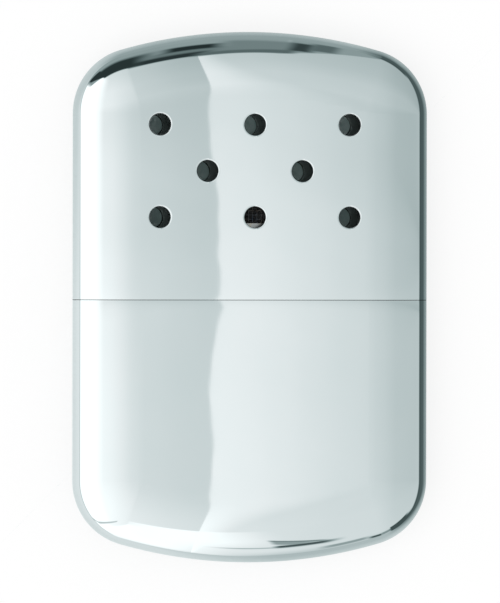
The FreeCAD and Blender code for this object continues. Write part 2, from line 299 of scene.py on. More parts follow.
@dataclass(frozen=True)
class BrushedNickel(Finish):
    """Nickel plate over drawn steel, brushed across and left unpolished.

    Gives the eye a soft warm sheen drawn out along the brush marks, with duller blotches where
    fuel has dried.
    """

    name: str = "brushed_nickel"
    colour: str = "#B3B2AC"
    stain_colour: str = "#9E998C"
    roughness: Pair = (0.22, 0.34)  # clean, stained
    stain_size: float = 6 * MM
    stain_span: Pair = (0.45, 0.72)  # noise levels at which a stain starts and is full
    brush_pitch: float = 0.12 * MM  # real marks are finer; drawn coarse enough to catch light
    brush_stretch: float = 0.03
    brush_depth: float = 1.5 * MICRON
    brush_shades: Pair = (0.85, 1.12)

    def surface(self, tree: NodeTree, place: NodeSocket) -> dict[str, object]:
        """Add the stains and the brush marks.

        Args:
            tree: The material's node tree.
            place: The socket with the place on the object.

        Returns:
            What goes into the shader's inputs, by their names.
        """
        blots = {"Vector": place, "Scale": 1 / self.stain_size, "Detail": 6.0, "Roughness": 0.65}
        stained = {"Value": add_node(tree, "TexNoise", blots), FROM: self.stain_span}
        stain = add_node(tree, "MapRange", stained)
        marks = streaks(tree, place, self.brush_pitch, (self.brush_stretch, 1.0, 1.0), 3.0)
        tints = {"Factor": stain, "A": linear(self.colour), "B": linear(self.stain_colour)}
        tint = add_node(tree, "Mix", tints, data_type="RGBA")
        shade = add_node(tree, "MapRange", {"Value": marks, TO: self.brush_shades})
        return {
            "Metallic": 1.0,
            "Base Color": add_node(tree, "VectorMath", {0: tint, "Scale": shade}, operation="SCALE"),
            "Roughness": add_node(tree, "MapRange", {"Value": stain, TO: self.roughness}),
            "Normal": add_node(tree, "Bump", {"Height": marks, "Distance": self.brush_depth}),
        }


@dataclass(frozen=True)
class HeatTintedSteel(Finish):
    """Stainless steel, rolled, stamped and then tinted by the burner's own heat.

    Gives the eye satin grey steel with fine rolling lines and edges worn bright by rubbing, which turns
    straw and then bronze and blue where the catalyst glows behind it. The lighter edges are also a
    painted highlight.
    """

    name: str = "heat_tinted_steel"
    # Each tint, by the heat that gives it.
    tints: tuple[tuple[float, str], ...] = (
        (0.12, "#919494"),
        (0.38, "#A8976F"),
        (0.66, "#7F6C60"),
        (0.92, "#626C79"),
    )
    # The edges' colour: worn bright by rubbing, and lightened as a painted highlight.
    worn_edge_highlight_colour: str = "#C9C8C3"
    hot: Triple = (0.0, 18.5 * MM, 6.5 * MM)  # where it gets hottest
    hot_reach: Triple = (14 * MM, 5.2 * MM, 8 * MM)
    cool_to_hot: Pair = (1.35, 0.15)  # in reaches from there
    blotch_size: float = 2.6 * MM
    blotch_shift: float = 0.9  # how far blotches move the tints, in reaches
    roughness: Pair = (0.24, 0.38)  # cold, hottest
    line_pitch: float = 0.10 * MM  # real rolling lines are finer; drawn coarse enough to show
    line_stretch: float = 0.04
    line_depth: float = 1.0 * MICRON
    line_shades: Pair = (0.88, 1.10)
    edge_width: float = 0.07 * MM
    edge_span: Pair = (0.995, 0.80)  # likeness of rounded and plain normal: flat, full edge

    def surface(self, tree: NodeTree, place: NodeSocket) -> dict[str, object]:
        """Add the tints, the edges worn bright and lightened as a painted highlight, and the rolling lines.

        Args:
            tree: The material's node tree.
            place: The socket with the place on the object.

        Returns:
            What goes into the shader's inputs, by their names.
        """
        heat = self.heat(tree, place)
        tint = add_node(tree, "ValToRGB", {"Fac": heat})
        set_stops(tint, [(amount, linear(colour)) for amount, colour in self.tints])
        lines = streaks(tree, place, self.line_pitch, (self.line_stretch, 1.0, 1.0), 3.0)
        # Painted highlight: the edges are lightened, on top of their wear.
        tints = {"Factor": self.edges(tree), "A": tint, "B": linear(self.worn_edge_highlight_colour)}
        worn_and_highlit = add_node(tree, "Mix", tints, data_type="RGBA")
        shade = add_node(tree, "MapRange", {"Value": lines, TO: self.line_shades})
        return {
            "Metallic": 1.0,
            "Base Color": add_node(tree, "VectorMath", {0: worn_and_highlit, "Scale": shade}, operation="SCALE"),
            "Roughness": add_node(tree, "MapRange", {"Value": heat, TO: self.roughness}),
            "Normal": add_node(tree, "Bump", {"Height": lines, "Distance": self.line_depth}),
        }

    def heat(self, tree: NodeTree, place: NodeSocket) -> NodeSocket:
        """Add the nodes for how hot each place has been.

        Args:
            tree: The material's node tree.
            place: The socket with the place on the object.

        Returns:
            The socket with the heat, from 0 to 1.
        """
        from_hot = add_node(tree, "VectorMath", {0: place, 1: self.hot}, operation="SUBTRACT")
        reaches = add_node(tree, "VectorMath", {0: from_hot, 1: self.hot_reach}, operation="DIVIDE")
        distance = add_node(tree, "VectorMath", {0: reaches}, operation="LENGTH")
        blots = {"Vector": place, "Scale": 1 / self.blotch_size, "Detail": 5.0, "Distortion": 0.6}
        shift = {0: add_node(tree, "TexNoise", blots), 1: -self.blotch_shift, 2: self.blotch_shift / 2}
        uneven = add_node(tree, "Math", shift, operation="MULTIPLY_ADD")
        shifted = add_node(tree, "Math", {0: distance, 1: uneven}, operation="ADD")
        return add_node(tree, "MapRange", {"Value": shifted, FROM: self.cool_to_hot}, **EASED)

    def edges(self, tree: NodeTree) -> NodeSocket:
        """Add the nodes that find the edges, which are worn bright and lightened as a painted highlight.

        Args:
            tree: The material's node tree.

        Returns:
            The socket with their mask, from 0 to 1.
        """
        rounded = add_node(tree, "Bevel", {"Radius": self.edge_width}, samples=4)
        plain = add_node(tree, "NewGeometry", {}, "Normal")
        likeness = add_node(tree, "VectorMath", {0: rounded, 1: plain}, operation="DOT_PRODUCT")
        return add_node(tree, "MapRange", {"Value": likeness, FROM: self.edge_span})


@dataclass(frozen=True)
class OxidisedWire(Finish):
    """Nickel-chromium wire, drawn, woven and oxidised by long heat.

    Gives the eye dark, dull grey wire with patches of brown and steel blue.
    """

    name: str = "oxidised_wire"
    colour: str = "#777B7D"
    # Each patch's colour, and the noise levels at which it starts and is full.
    patches: tuple[tuple[str, Pair], ...] = (("#645A50", (0.42, 0.66)), ("#566170", (0.52, 0.36)))
    roughness: Pair = (0.42, 0.62)  # in the scale's hollows, on its crests
    patch_size: float = 1.8 * MM
    scale_size: float = 0.08 * MM
    scale_depth: float = 4 * MICRON

    def surface(self, tree: NodeTree, place: NodeSocket) -> dict[str, object]:
        """Add the patches and the oxide's scale.

        Args:
            tree: The material's node tree.
            place: The socket with the place on the object.

        Returns:
            What goes into the shader's inputs, by their names.
        """
        patch = add_node(tree, "TexNoise", {"Vector": place, "Scale": 1 / self.patch_size, "Detail": 4.0})
        tint = linear(self.colour)
        for colour, span in self.patches:
            share = add_node(tree, "MapRange", {"Value": patch, FROM: span})
            tint = add_node(tree, "Mix", {"Factor": share, "A": tint, "B": linear(colour)}, data_type="RGBA")
        scale = add_node(tree, "TexNoise", {"Vector": place, "Scale": 1 / self.scale_size, "Detail": 3.0})
        return {
            "Metallic": 1.0,
            "Base Color": tint,
            "Roughness": add_node(tree, "MapRange", {"Value": scale, TO: self.roughness}),
            "Normal": add_node(tree, "Bump", {"Height": scale, "Distance": self.scale_depth}),
        }


@dataclass(frozen=True)
class MattedFibre(Finish):
    """Loose or pressed fibre: soft blotches under three lays of fine strands."""

    name: str
    colour: str
    deep_colour: str
    strand_colour: str
    strand_width: float
    blotch_size: float
    blotch_span: Pair = (0.35, 0.65)
    strand_share: float = 0.5
    strand_span: Pair = (0.52, 0.68)
    strand_stretch: float = 0.12
    strand_wander: float = 0.8
    # How the noise under each lay of strands is turned, so that no two are alike.
    lay_turns: tuple[Triple, ...] = ((0.3, 0.21, 0.3), (1.4, 0.98, 1.4), (2.5, 1.75, 2.5))
    bump_depth: float = 30 * MICRON
    roughness: float = 0.95
    sheen: float = 0.15
    sheen_roughness: float = 0.5

    def surface(self, tree: NodeTree, place: NodeSocket) -> dict[str, object]:
        """Add the blotches and the strands.

        Args:
            tree: The material's node tree.
            place: The socket with the place on the object.

        Returns:
            What goes into the shader's inputs, by their names.
        """
        strands = self.strands(tree, place)
        blotch = add_node(tree, "TexNoise", {"Vector": place, "Scale": 1 / self.blotch_size, "Detail": 4.0})
        shade = add_node(tree, "MapRange", {"Value": blotch, FROM: self.blotch_span})
        tints = {"Factor": shade, "A": linear(self.deep_colour), "B": linear(self.colour)}
        lit = add_node(tree, "Math", {0: strands, 1: self.strand_share}, operation="MULTIPLY")
        tint = add_node(tree, "Mix", tints, data_type="RGBA")
        stranded = {"Factor": lit, "A": tint, "B": linear(self.strand_colour)}
        return {
            "Base Color": add_node(tree, "Mix", stranded, data_type="RGBA"),
            "Roughness": self.roughness,
            "Sheen Weight": self.sheen,
            "Sheen Roughness": self.sheen_roughness,
            "Normal": add_node(tree, "Bump", {"Height": strands, "Distance": self.bump_depth}),
        }

    def strands(self, tree: NodeTree, place: NodeSocket) -> NodeSocket:
        """Add the lays of strands, which are drawn out along X.

        Args:
            tree: The material's node tree.
            place: The socket with the place on the object.

        Returns:
            The socket with how much of a strand lies at each place, from 0 to 1.
        """
        total = 0.0
        stretch = (self.strand_stretch, 1.0, 1.0)
        for turned in self.lay_turns:
            lay = streaks(tree, place, 2 * self.strand_width, stretch, 1.0, turned, self.strand_wander)
            ridge = add_node(tree, "MapRange", {"Value": lay, FROM: self.strand_span})
            total = add_node(tree, "Math", {0: total, 1: ridge}, operation="MAXIMUM")
        return total


# Wool felt, pressed: a dense cream mat whose short hairs barely stand out.
PRESSED_FELT = MattedFibre(
    "pressed_wool_felt", "#D6CDB9", "#BFB08F", "#E9E2D2", 0.06 * MM, 4 * MM, bump_depth=20 * MICRON
)
# Cotton wool, carded: soft white wadding, faintly yellowed by fuel in blotches.
CARDED_COTTON = MattedFibre(
    "carded_cotton", "#EFECE4", "#DAD2BF", "#F8F6F1", 0.10 * MM, 7 * MM, bump_depth=50 * MICRON, sheen=0.25
)
# Glass wool, felted: off-white threads with a cool glint.
GLASS_WOOL = MattedFibre(
    "felted_glass_wool", "#DDDACF", "#B9B3A3", "#F2F2EE", 0.05 * MM, 1.5 * MM, roughness=0.6, sheen=0.3
)
# Glass fibre, soaked in platinum salts and baked: charcoal black, with a few ash-grey strands.
PLATINISED_FIBRE = MattedFibre(
    "platinised_glass_fibre", "#2F3234", "#1B1D1E", "#5C5D5C", 0.05 * MM, 0.9 * MM,
    strand_share=0.35, sheen=0.05,
)


# --- Seating pieces in the frame ----------------------------------------------------------------
class Body(Enum):
    """A part of the warmer that moves as one."""

    TANK = "tank"
    BURNER = "burner"
    LID = "lid"


def seat(piece: Object, node: str, body: Body, slot: str, *finishes: Material) -> Object:
    """Dress a piece and ride it on its body, in place of the solid that it stands for.

    Args:
        piece: The piece.
        node: The solid that it takes the place of.
        body: What it moves with.
        slot: The material slot that names its finish in the part's record; it is not used.
        finishes: Its materials, in the order of its faces' slots.

    Returns:
        The piece.
    """
    for finish in finishes:
        piece.data.materials.append(finish)
    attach(piece, body.value)
    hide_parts(node)
    return piece


def dress(node: str, finish: Material) -> Object:
    """Give a solid its finish.

    Args:
        node: The solid's name.
        finish: The material for all of its slots.

    Returns:
        The solid.
    """
    solid = frame["nodes"][node]
    for place in solid.material_slots:
        place.material = finish
    return solid


def tube(path: np.ndarray, radius: np.ndarray, sides: int) -> tuple[np.ndarray, Faces]:
    """Sweep a round section along a path, with closed ends.

    Args:
        path: The points of the centreline.
        radius: The section's radius at each point.
        sides: How many sides the section has.

    Returns:
        The points and the faces.
    """
    along = unit(np.gradient(path, axis=0))
    spare = np.where(np.abs(along[:, 2:3]) < 0.9, [[0.0, 0.0, 1.0]], [[1.0, 0.0, 0.0]])
    across = unit(np.cross(along, spare))
    over = np.cross(across, along)
    turns = np.linspace(0, 2 * math.pi, sides, endpoint=False)[None, :, None]
    rings = path[:, None] + radius[:, None, None] * (
        across[:, None] * np.cos(turns) + over[:, None] * np.sin(turns)
    )
    faces = [
        (i * sides + j, (i + 1) * sides + j, (i + 1) * sides + (j + 1) % sides, i * sides + (j + 1) % sides)
        for i in range(len(path) - 1)
        for j in range(sides)
    ]
    last = (len(path) - 1) * sides
    faces.append(tuple(range(sides)))
    faces.append(tuple(range(last + sides - 1, last - 1, -1)))
    return rings.reshape(-1, 3), faces


def gather(parts: list[tuple[np.ndarray, Faces]]) -> tuple[np.ndarray, Faces]:
    """Put several meshes together as one.

    Args:
        parts: The (points, faces) of each.

    Returns:
        The points and the faces of all.
    """
    faces, first = [], 0
    for points, own in parts:
        faces += [tuple(first + i for i in face) for face in own]
        first += len(points)
    return np.vstack([points for points, _ in parts]), faces


# --- Casing -------------------------------------------------------------------------------------
@dataclass
class Waviness:
    """How far a drawn and buffed face departs from the plain form, outwards."""

    crown: float = 0.25 * MM  # how far the face falls across, at the half width
    crown_half_width: float = 24 * MM
    crown_end: float = 0.15 * MM  # how far it falls along, at the half length
    crown_half_length: float = 40 * MM
    seam_y: float = 0.0
    seam_dip: float = 0.012 * MM
    seam_reach: float = 1.0 * MM
    seam_curl: float = 0.10  # share of the crown that the open rims add
    seam_curl_reach: float = 2.2 * MM
    twists: tuple[Triple, ...] = ((0.0003, 22 * MM, 2.6), (0.0004, 47 * MM, 0.4))  # slope, length, phase
    ripple_count: int = 14
    ripple_height: float = 0.22 * MICRON
    ripple_length: float = 9 * MM
    ripple_lengths: Pair = (0.6, 1.8)  # the shortest and the longest, as shares of that
    seed: int = 5

    def __post_init__(self) -> None:
        """Draw the directions, lengths and phases of the buffing ripples."""
        draw = np.random.default_rng(self.seed)
        turns = draw.uniform(0, math.pi, self.ripple_count)
        lengths = self.ripple_length * draw.uniform(*self.ripple_lengths, self.ripple_count)
        self.ripples = np.column_stack([
            2 * math.pi * np.cos(turns) / lengths,
            2 * math.pi * np.sin(turns) / lengths,
            draw.uniform(0, 2 * math.pi, self.ripple_count),
        ])

    def height(self, x: np.ndarray, y: np.ndarray) -> np.ndarray:
        """Work out the departure.

        Args:
            x: Places across the face.
            y: The same places along it.

        Returns:
            The departure at each.
        """
        from_seam = np.abs(y - self.seam_y)
        curl = 1 + self.seam_curl * np.exp(-from_seam / self.seam_curl_reach)
        total = -self.crown * curl * (x / self.crown_half_width) ** 2
        total -= self.crown_end * (y / self.crown_half_length) ** 2
        total -= self.seam_dip * np.exp(-from_seam / self.seam_reach)
        for slope, length, phase in self.twists:
            total += slope * x * np.sin(2 * math.pi * y / length + phase)
        for kx, ky, phase in self.ripples:
            total += self.ripple_height * np.cos(kx * x + ky * y + phase)
        return total


@dataclass
class Casing:
    """The drawn lid and tank: two halves of one flat pebble form, parted by the seam."""

    edge_run: float = 11.0 * MM  # from the outline to where a face starts to roll over
    edge_nose: float = 4.0 * MM  # radius of the edge at its widest
    face_corner: float = 1.3 * MM
    ease: float = 1.3 * MM  # half the width over which a face bends into its edge
    end_radius: float = 88.0 * MM
    sheet: float = 0.5 * MM
    rim_round: float = 0.055 * MM
    vent_diameter: float = 4.0 * MM
    vent_column_pitch: float = 17.8 * MM
    vent_row_pitch: float = 8.6 * MM
    vent_first_row: float = 17.4 * MM
    vent_row_counts: tuple[int, ...] = (3, 2, 3)
    vent_dish: float = 0.32 * MM  # width of the rolled-in rim
    vent_roll: float = 0.2 * MM  # its depth
    grid: float = 1.0 * MM  # spacing of the face's vertices
    border_gap: float = 0.4  # of that spacing: the least between the grid and the face's border
    vent_gap: float = 0.45  # the same, between the grid and a vent
    vent_slack: float = 0.02 * MM  # a triangle whose middle is deeper in a vent than this is left out
    wide_steps: int = 16
    nose_steps: int = 12
    corner_steps: int = 26
    vent_steps: int = 56
    roll_steps: int = 6
    slope_step: float = 0.01 * MM
    waviness: Waviness = field(default_factory=Waviness)

    def __post_init__(self) -> None:
        """Read the overall sizes from the frame."""
        lid_low, lid_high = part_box("lid_shell")
        tank_low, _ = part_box("tank_shell")
        self.width = lid_high.x - lid_low.x
        self.depth = lid_high.z - lid_low.z
        self.length = lid_high.y - tank_low.y
        self.seam = lid_low.y
        self.middle = (lid_low.z + lid_high.z) / 2
        self.waviness.seam_y = self.seam

    @property
    def corner_radius(self) -> float:
        """Radius of the outline's corners."""
        return self.edge_run + self.face_corner

    @property
    def end_centre(self) -> float:
        """Y of the centre of the arched end at +Y."""
        return self.length / 2 - self.end_radius

    @property
    def corner_centre(self) -> Pair:
        """(x, y) of the centre of the outline's corner at +X, +Y."""
        x = self.width / 2 - self.corner_radius
        return x, self.end_centre + math.sqrt((self.end_radius - self.corner_radius) ** 2 - x**2)

    @property
    def wide_sweep(self) -> float:
        """How far the wide part of the edge's section turns, in radians."""
        return 2 * math.atan2(self.depth / 2 - self.edge_nose, self.edge_run - self.edge_nose)

    @property
    def wide_radius(self) -> float:
        """Radius of the wide part of the edge's section."""
        return self.edge_nose + (self.edge_run - self.edge_nose) / math.sin(self.wide_sweep)

    @property
    def vent_reach(self) -> float:
        """Radius of a vent with its rolled-in rim."""
        return self.vent_diameter / 2 + self.vent_dish

    @property
    def roll_turns(self) -> np.ndarray:
        """How far each row of a rolled edge has turned, in radians."""
        return np.linspace(0, math.pi / 2, self.roll_steps + 1)[1:]

    def inset(self, x: np.ndarray, y: np.ndarray) -> np.ndarray:
        """Measure how far places lie inside the outline.

        Args:
            x: Places across the casing.
            y: The same places along it.

        Returns:
            The distance at each.
        """
        x, y = np.abs(x), np.abs(y)
        corner_x, corner_y = self.corner_centre
        sides = self.width / 2 - x
        ends = self.end_radius - np.hypot(x, y - self.end_centre)
        corners = self.corner_radius - np.hypot(x - corner_x, y - corner_y)
        past_end = (x - corner_x) * (corner_y - self.end_centre) > (y - corner_y) * corner_x
        return np.where((y > corner_y) & past_end, corners, np.minimum(sides, ends))

    def departure(self, x: np.ndarray, y: np.ndarray) -> np.ndarray:
        """Work out how far a face stands off its plain form: its waves, and its eased border.

        Args:
            x: Places across the face.
            y: The same places along it.

        Returns:
            The departure at each, outwards.
        """
        place = np.clip((self.edge_run - self.inset(x, y)) / self.ease, -1.0, 1.0)
        bend = (place + 1) ** 3 / 6 - np.maximum(place, 0.0) ** 2
        return self.waviness.height(x, y) - bend * self.ease**2 / (2 * self.wide_radius)

    def slopes(self, x: np.ndarray, y: np.ndarray) -> np.ndarray:
        """Work out the slopes of the departure, by central differences.

        Args:
            x: Places across the face.
            y: The same places along it.

        Returns:
            A row of (dx, dy, 0) for each.
        """
        step = self.slope_step
        dx = (self.departure(x + step, y) - self.departure(x - step, y)) / (2 * step)
        dy = (self.departure(x, y + step) - self.departure(x, y - step)) / (2 * step)
        return np.column_stack([dx, dy, np.zeros_like(dx)])

    def stations(self, start_y: float) -> tuple[np.ndarray, np.ndarray]:
        """Walk the outline of the +Y half from +X to -X.

        Args:
            start_y: Where both straight sides begin.

        Returns:
            The (x, y) places and the outward (x, y) directions.
        """
        corner_x, corner_y = self.corner_centre
        end_turn = math.atan2(corner_x, corner_y - self.end_centre)
        side = np.linspace(start_y, corner_y, round((corner_y - start_y) / self.grid) + 1)[:-1]
        corner = np.linspace(math.pi / 2, end_turn, self.corner_steps)[:-1]
        end = np.linspace(end_turn, 0.0, round(end_turn * self.end_radius / self.grid) + 1)
        places = [(self.width / 2, y) for y in side]
        outward = [(1.0, 0.0) for _ in side]
        for turns, x, y, radius in (
            (corner, corner_x, corner_y, self.corner_radius),
            (end, 0.0, self.end_centre, self.end_radius),
        ):
            for turn in turns:
                outward.append((math.sin(turn), math.cos(turn)))
                places.append((x + radius * outward[-1][0], y + radius * outward[-1][1]))
        mirror = np.array([-1.0, 1.0])
        return tuple(np.vstack([half, half[-2::-1] * mirror]) for half in map(np.array, (places, outward)))

    def profile(self) -> tuple[np.ndarray, np.ndarray, np.ndarray]:
        """Section of the edge from the front face to the rear face.

        Returns:
            For each step the inset from the outline, the height from the middle plane, and the
            angle of the surface normal from +Z.
        """
        wide, nose = self.wide_radius, self.edge_nose
        wide_turns = np.linspace(0, self.wide_sweep, self.wide_steps + 1)
        nose_turns = np.linspace(self.wide_sweep, math.pi / 2, self.nose_steps + 1)[1:]
        inset = np.concatenate([self.edge_run - wide * np.sin(wide_turns), nose * (1 - np.sin(nose_turns))])
        height = np.concatenate([self.depth / 2 - wide * (1 - np.cos(wide_turns)), nose * np.cos(nose_turns)])
        angle = np.concatenate([wide_turns, nose_turns])
        return (
            np.concatenate([inset, inset[-2::-1]]),
            np.concatenate([height, -height[-2::-1]]),
            np.concatenate([angle, math.pi - angle[-2::-1]]),
        )

    def vent_places(self) -> list[Pair]:
        """Space the vents, row by row.

        Returns:
            The (x, y) place of each vent's centre.
        """
        places = []
        for row, count in enumerate(self.vent_row_counts):
            y = self.length / 2 - self.vent_first_row - row * self.vent_row_pitch
            places += [((i - (count - 1) / 2) * self.vent_column_pitch, y) for i in range(count)]
        return places

    def build(self) -> list[Object]:
        """Make and plate both cups.

        Returns:
            The lid and the tank's cup.
        """
        # Inside, only the nickel strike took: it is duller and greyer than the brushed collar. Its dark teal
        # grey is also painted shade of the closed cup, which the vents' bores share.
        inside = BrushedNickel(
            name="nickel_strike_painted_shade", colour="#869594", stain_colour="#778583", roughness=(0.40, 0.52),
            stain_size=9 * MM,
        )
        finishes = PolishedChrome().make(), inside.make()
        made = []
        # The tank's cup is the same form without vents, turned half round.
        for body, cut_y, vents in ((Body.LID, self.seam, self.vent_places()), (Body.TANK, -self.seam, [])):
            cup = CupBuilder(self, cut_y, vents).build(f"{body.value}_case", turned=body is Body.TANK)
            made.append(seat(cup, f"{body.value}_shell", body, "polished_chrome", *finishes))
        return made


@dataclass
class CupBuilder:
    """Builds one drawn cup of the casing, open at its cut."""

    casing: Casing
    cut_y: float
    vents: list[Pair]
    points: list[np.ndarray] = field(default_factory=list)
    normals: list[np.ndarray] = field(default_factory=list)
    faces: Faces = field(default_factory=list)
    bare_shaded_bores: list[int] = field(default_factory=list)  # faces of the bores, which the plating barely reached; painted dark as shade with the inside
    count: int = 0

    def add(self, points: np.ndarray, normals: np.ndarray | None = None) -> list[int]:
        """Add vertices.

        Args:
            points: Where they are.
            normals: Their exact normals; None leaves these to Blender.

        Returns:
            Their indices.
        """
        self.points.append(points)
        self.normals.append(np.zeros_like(points) if normals is None else normals)
        self.count += len(points)
        return list(range(self.count - len(points), self.count))

    def join(self, rows: list[list[int]], closed: bool = True) -> None:
        """Join rows of vertices with quads, each row with the next.

        Args:
            rows: The vertices of each row.
            closed: Whether a row's end is joined to its start.
        """
        for first, second in zip(rows, rows[1:]):
            for i in range(len(first) if closed else len(first) - 1):
                j = (i + 1) % len(first)
                self.faces.append((first[i], first[j], second[j], second[i]))

    def outer_surface(self) -> tuple[list[int], list[list[int]]]:
        """Build the outside, from the rounding of the rim to the tip.

        Returns:
            The rim's vertices in order round the cut, and a ring of vertices for each vent,
            counter-clockwise seen from outside.
        """
        casing = self.casing
        places, outward = casing.stations(self.cut_y + casing.rim_round)
        rows = []
        for inset, height, angle in zip(*casing.profile()):
            z = np.full(len(places), casing.middle + height)
            facing = np.full(len(places), math.cos(angle))
            points = np.column_stack([places - outward * inset, z])
            rows.append(self.add(points, np.column_stack([outward * math.sin(angle), facing])))
        self.join(rows[::-1], closed=False)
        front_cut, front_vents = self.face(rows[0], 1)
        rear_cut, rear_vents = self.face(rows[-1], -1)
        right, left = [row[0] for row in rows], [row[-1] for row in rows]
        return right + rear_cut + left[::-1] + front_cut[::-1], front_vents + rear_vents

    def face(self, border: list[int], side: int) -> tuple[list[int], list[list[int]]]:
        """Fill the flat part of a face with a fine grid that leaves the vents open.

        Args:
            border: The row of vertices where the edge meets the face, from +X to -X.
            side: 1 in front, -1 behind.

        Returns:
            The vertices along the cut from +X to -X, ends left out, and the vents' rings.
        """
        casing = self.casing
        outline = np.vstack(self.points)[border][:, :2]
        half, start_y = outline[0]
        cut_x = np.linspace(half, -half, round(2 * half / casing.grid) + 1)[1:-1]
        cut = np.column_stack([cut_x, np.full(len(cut_x), start_y)])
        steps = casing.vent_steps
        turns = np.linspace(0, 2 * math.pi, steps, endpoint=False)
        circle = casing.vent_reach * np.column_stack([np.cos(turns), np.sin(turns)])
        rings = [np.array(centre) + circle for centre in self.vents]
        flat = np.vstack([outline, cut, *rings, self.grid_inside(outline)])
        first = len(outline) + len(cut)
        clear = casing.vent_reach - casing.vent_slack
        vent_loops = [list(range(i, i + steps)) for i in range(first, first + steps * len(rings), steps)]
        border_loop = [*range(len(outline)), *range(first - 1, len(outline) - 1, -1)]
        edges = [edge for loop in (border_loop, *vent_loops) for edge in zip(loop, loop[1:] + loop[:1])]
        made = delaunay_2d_cdt([Vector(p) / MM for p in flat], edges, [], 0, 1e-6)
        if len(made[0]) != len(flat):
            raise ValueError("the face's grid met its border")
        fresh = flat[len(outline):]
        points = np.column_stack([fresh, np.full(len(fresh), casing.middle + side * casing.depth / 2)])
        names = border + self.add(points, np.tile([0.0, 0.0, float(side)], (len(fresh), 1)))
        for triangle in made[2]:
            corners = flat[list(triangle)]
            middle = corners.mean(axis=0)
            if any(math.dist(middle, centre) < clear for centre in self.vents):
                continue
            a, b, c = (names[i] for i in triangle)
            turn = np.cross(corners[1] - corners[0], corners[2] - corners[0])
            self.faces.append((a, b, c) if turn * side > 0 else (a, c, b))
        return names[len(outline) : first], [[names[i] for i in loop[::side]] for loop in vent_loops]

    def grid_inside(self, outline: np.ndarray) -> np.ndarray:
        """Lay a square grid that stays clear of a face's border and vents.

        Args:
            outline: The (x, y) places along the face's border, from +X to -X.

        Returns:
            The (x, y) places of the grid.
        """
        casing = self.casing
        half, start_y = outline[0]
        gap = casing.border_gap * casing.grid
        xs = np.arange(-half, half + casing.grid, casing.grid)
        ys = np.arange(start_y, outline[:, 1].max(), casing.grid)
        x, y = (places.ravel() for places in np.meshgrid(xs, ys))
        keep = np.hypot(x, y - casing.end_centre) < casing.end_radius - casing.edge_run - gap
        keep &= (np.abs(x) < half - gap) & (y > start_y + gap)
        corner_x, corner_y = casing.corner_centre
        beyond = (np.abs(x) > corner_x) & (y > corner_y)
        keep &= ~(beyond & (np.hypot(np.abs(x) - corner_x, y - corner_y) > casing.face_corner - gap))
        for vent_x, vent_y in self.vents:
            keep &= np.hypot(x - vent_x, y - vent_y) > casing.vent_reach + casing.vent_gap * casing.grid
        return np.column_stack([x[keep], y[keep]])

    def build(self, name: str, turned: bool) -> Object:
        """Build the cup as one closed mesh: outside, rim, inside and the walls of the vents.

        Args:
            name: The piece's name.
            turned: Whether the cup is turned half round, to open at +Y.

        Returns:
            The finished object; slot 0 is its plated outside and slot 1 its barely plated inside, painted a
            dark teal grey as shade.
        """
        casing = self.casing
        rim, rings = self.outer_surface()
        outer_faces = list(self.faces)
        points, normals = np.vstack(self.points), np.vstack(self.normals)
        inner = self.add(points - casing.sheet * normals)
        self.faces += [tuple(inner[i] for i in reversed(face)) for face in outer_faces]
        self.round_rim(rim, [inner[i] for i in rim], points[rim], normals[rim])
        for ring in rings:
            self.vent_wall(ring, [inner[i] for i in ring], points[ring], normals[ring[0]])
        points, normals = np.vstack(self.points), np.vstack(self.normals)
        sign = -1.0 if turned else 1.0
        x, y = sign * points[:, 0], sign * points[:, 1]
        points[:, 2] += casing.departure(x, y) * normals[:, 2]
        normals -= np.abs(normals[:, 2:]) * casing.slopes(x, y) * sign
        real = np.linalg.norm(normals, axis=1) > 0.5
        normals[real] = unit(normals[real])
        points[:, :2] *= sign
        normals[:, :2] *= sign
        slots = np.zeros(len(self.faces), int)
        slots[len(outer_faces) : 2 * len(outer_faces)] = 1
        slots[self.bare_shaded_bores] = 1
        return make_mesh(name, points, self.faces, normals, slots)

    def round_rim(self, rim: list[int], inner: list[int], points: np.ndarray, normals: np.ndarray) -> None:
        """Roll the outside over the cut and close it to the inside.

        Args:
            rim: The outside's vertices round the cut.
            inner: The inside's vertices round the cut.
            points: Where the outside's are.
            normals: The outside's normals there.
        """
        radius = self.casing.rim_round
        down = np.array([0.0, -1.0, 0.0])
        rows = [rim]
        for turn in self.casing.roll_turns:
            row = points - normals * radius * (1 - math.cos(turn)) + down * radius * math.sin(turn)
            rows.append(self.add(row, normals * math.cos(turn) + down * math.sin(turn)))
        lip = self.add(points - normals * self.casing.sheet + down * radius)
        self.join([*rows, lip, inner])

    def vent_wall(self, ring: list[int], inner: list[int], points: np.ndarray, axis: np.ndarray) -> None:
        """Roll the outside into a vent and close it to the inside.

        Args:
            ring: The outside's vertices round the vent.
            inner: The inside's vertices round the vent.
            points: Where the outside's are.
            axis: The way out of the vent.
        """
        casing = self.casing
        centre = points.mean(axis=0)
        radial = unit(points - centre)
        bore = casing.vent_diameter / 2
        rows = [ring]
        for turn in casing.roll_turns:
            reach = bore + casing.vent_dish * (1 - math.sin(turn))
            row = centre + radial * reach - axis * casing.vent_roll * (1 - math.cos(turn))
            lean = np.array([math.sin(turn) / casing.vent_dish, math.cos(turn) / casing.vent_roll])
            lean /= np.linalg.norm(lean)
            rows.append(self.add(row, axis * lean[1] - radial * lean[0]))
        self.join(rows)
        # The bores take the inside's finish: thin plating and painted shade.
        first_shaded_bore = len(self.faces)
        self.join([rows[-1], self.add(centre + radial * bore - axis * casing.sheet), inner])
        self.bare_shaded_bores += range(first_shaded_bore, len(self.faces))


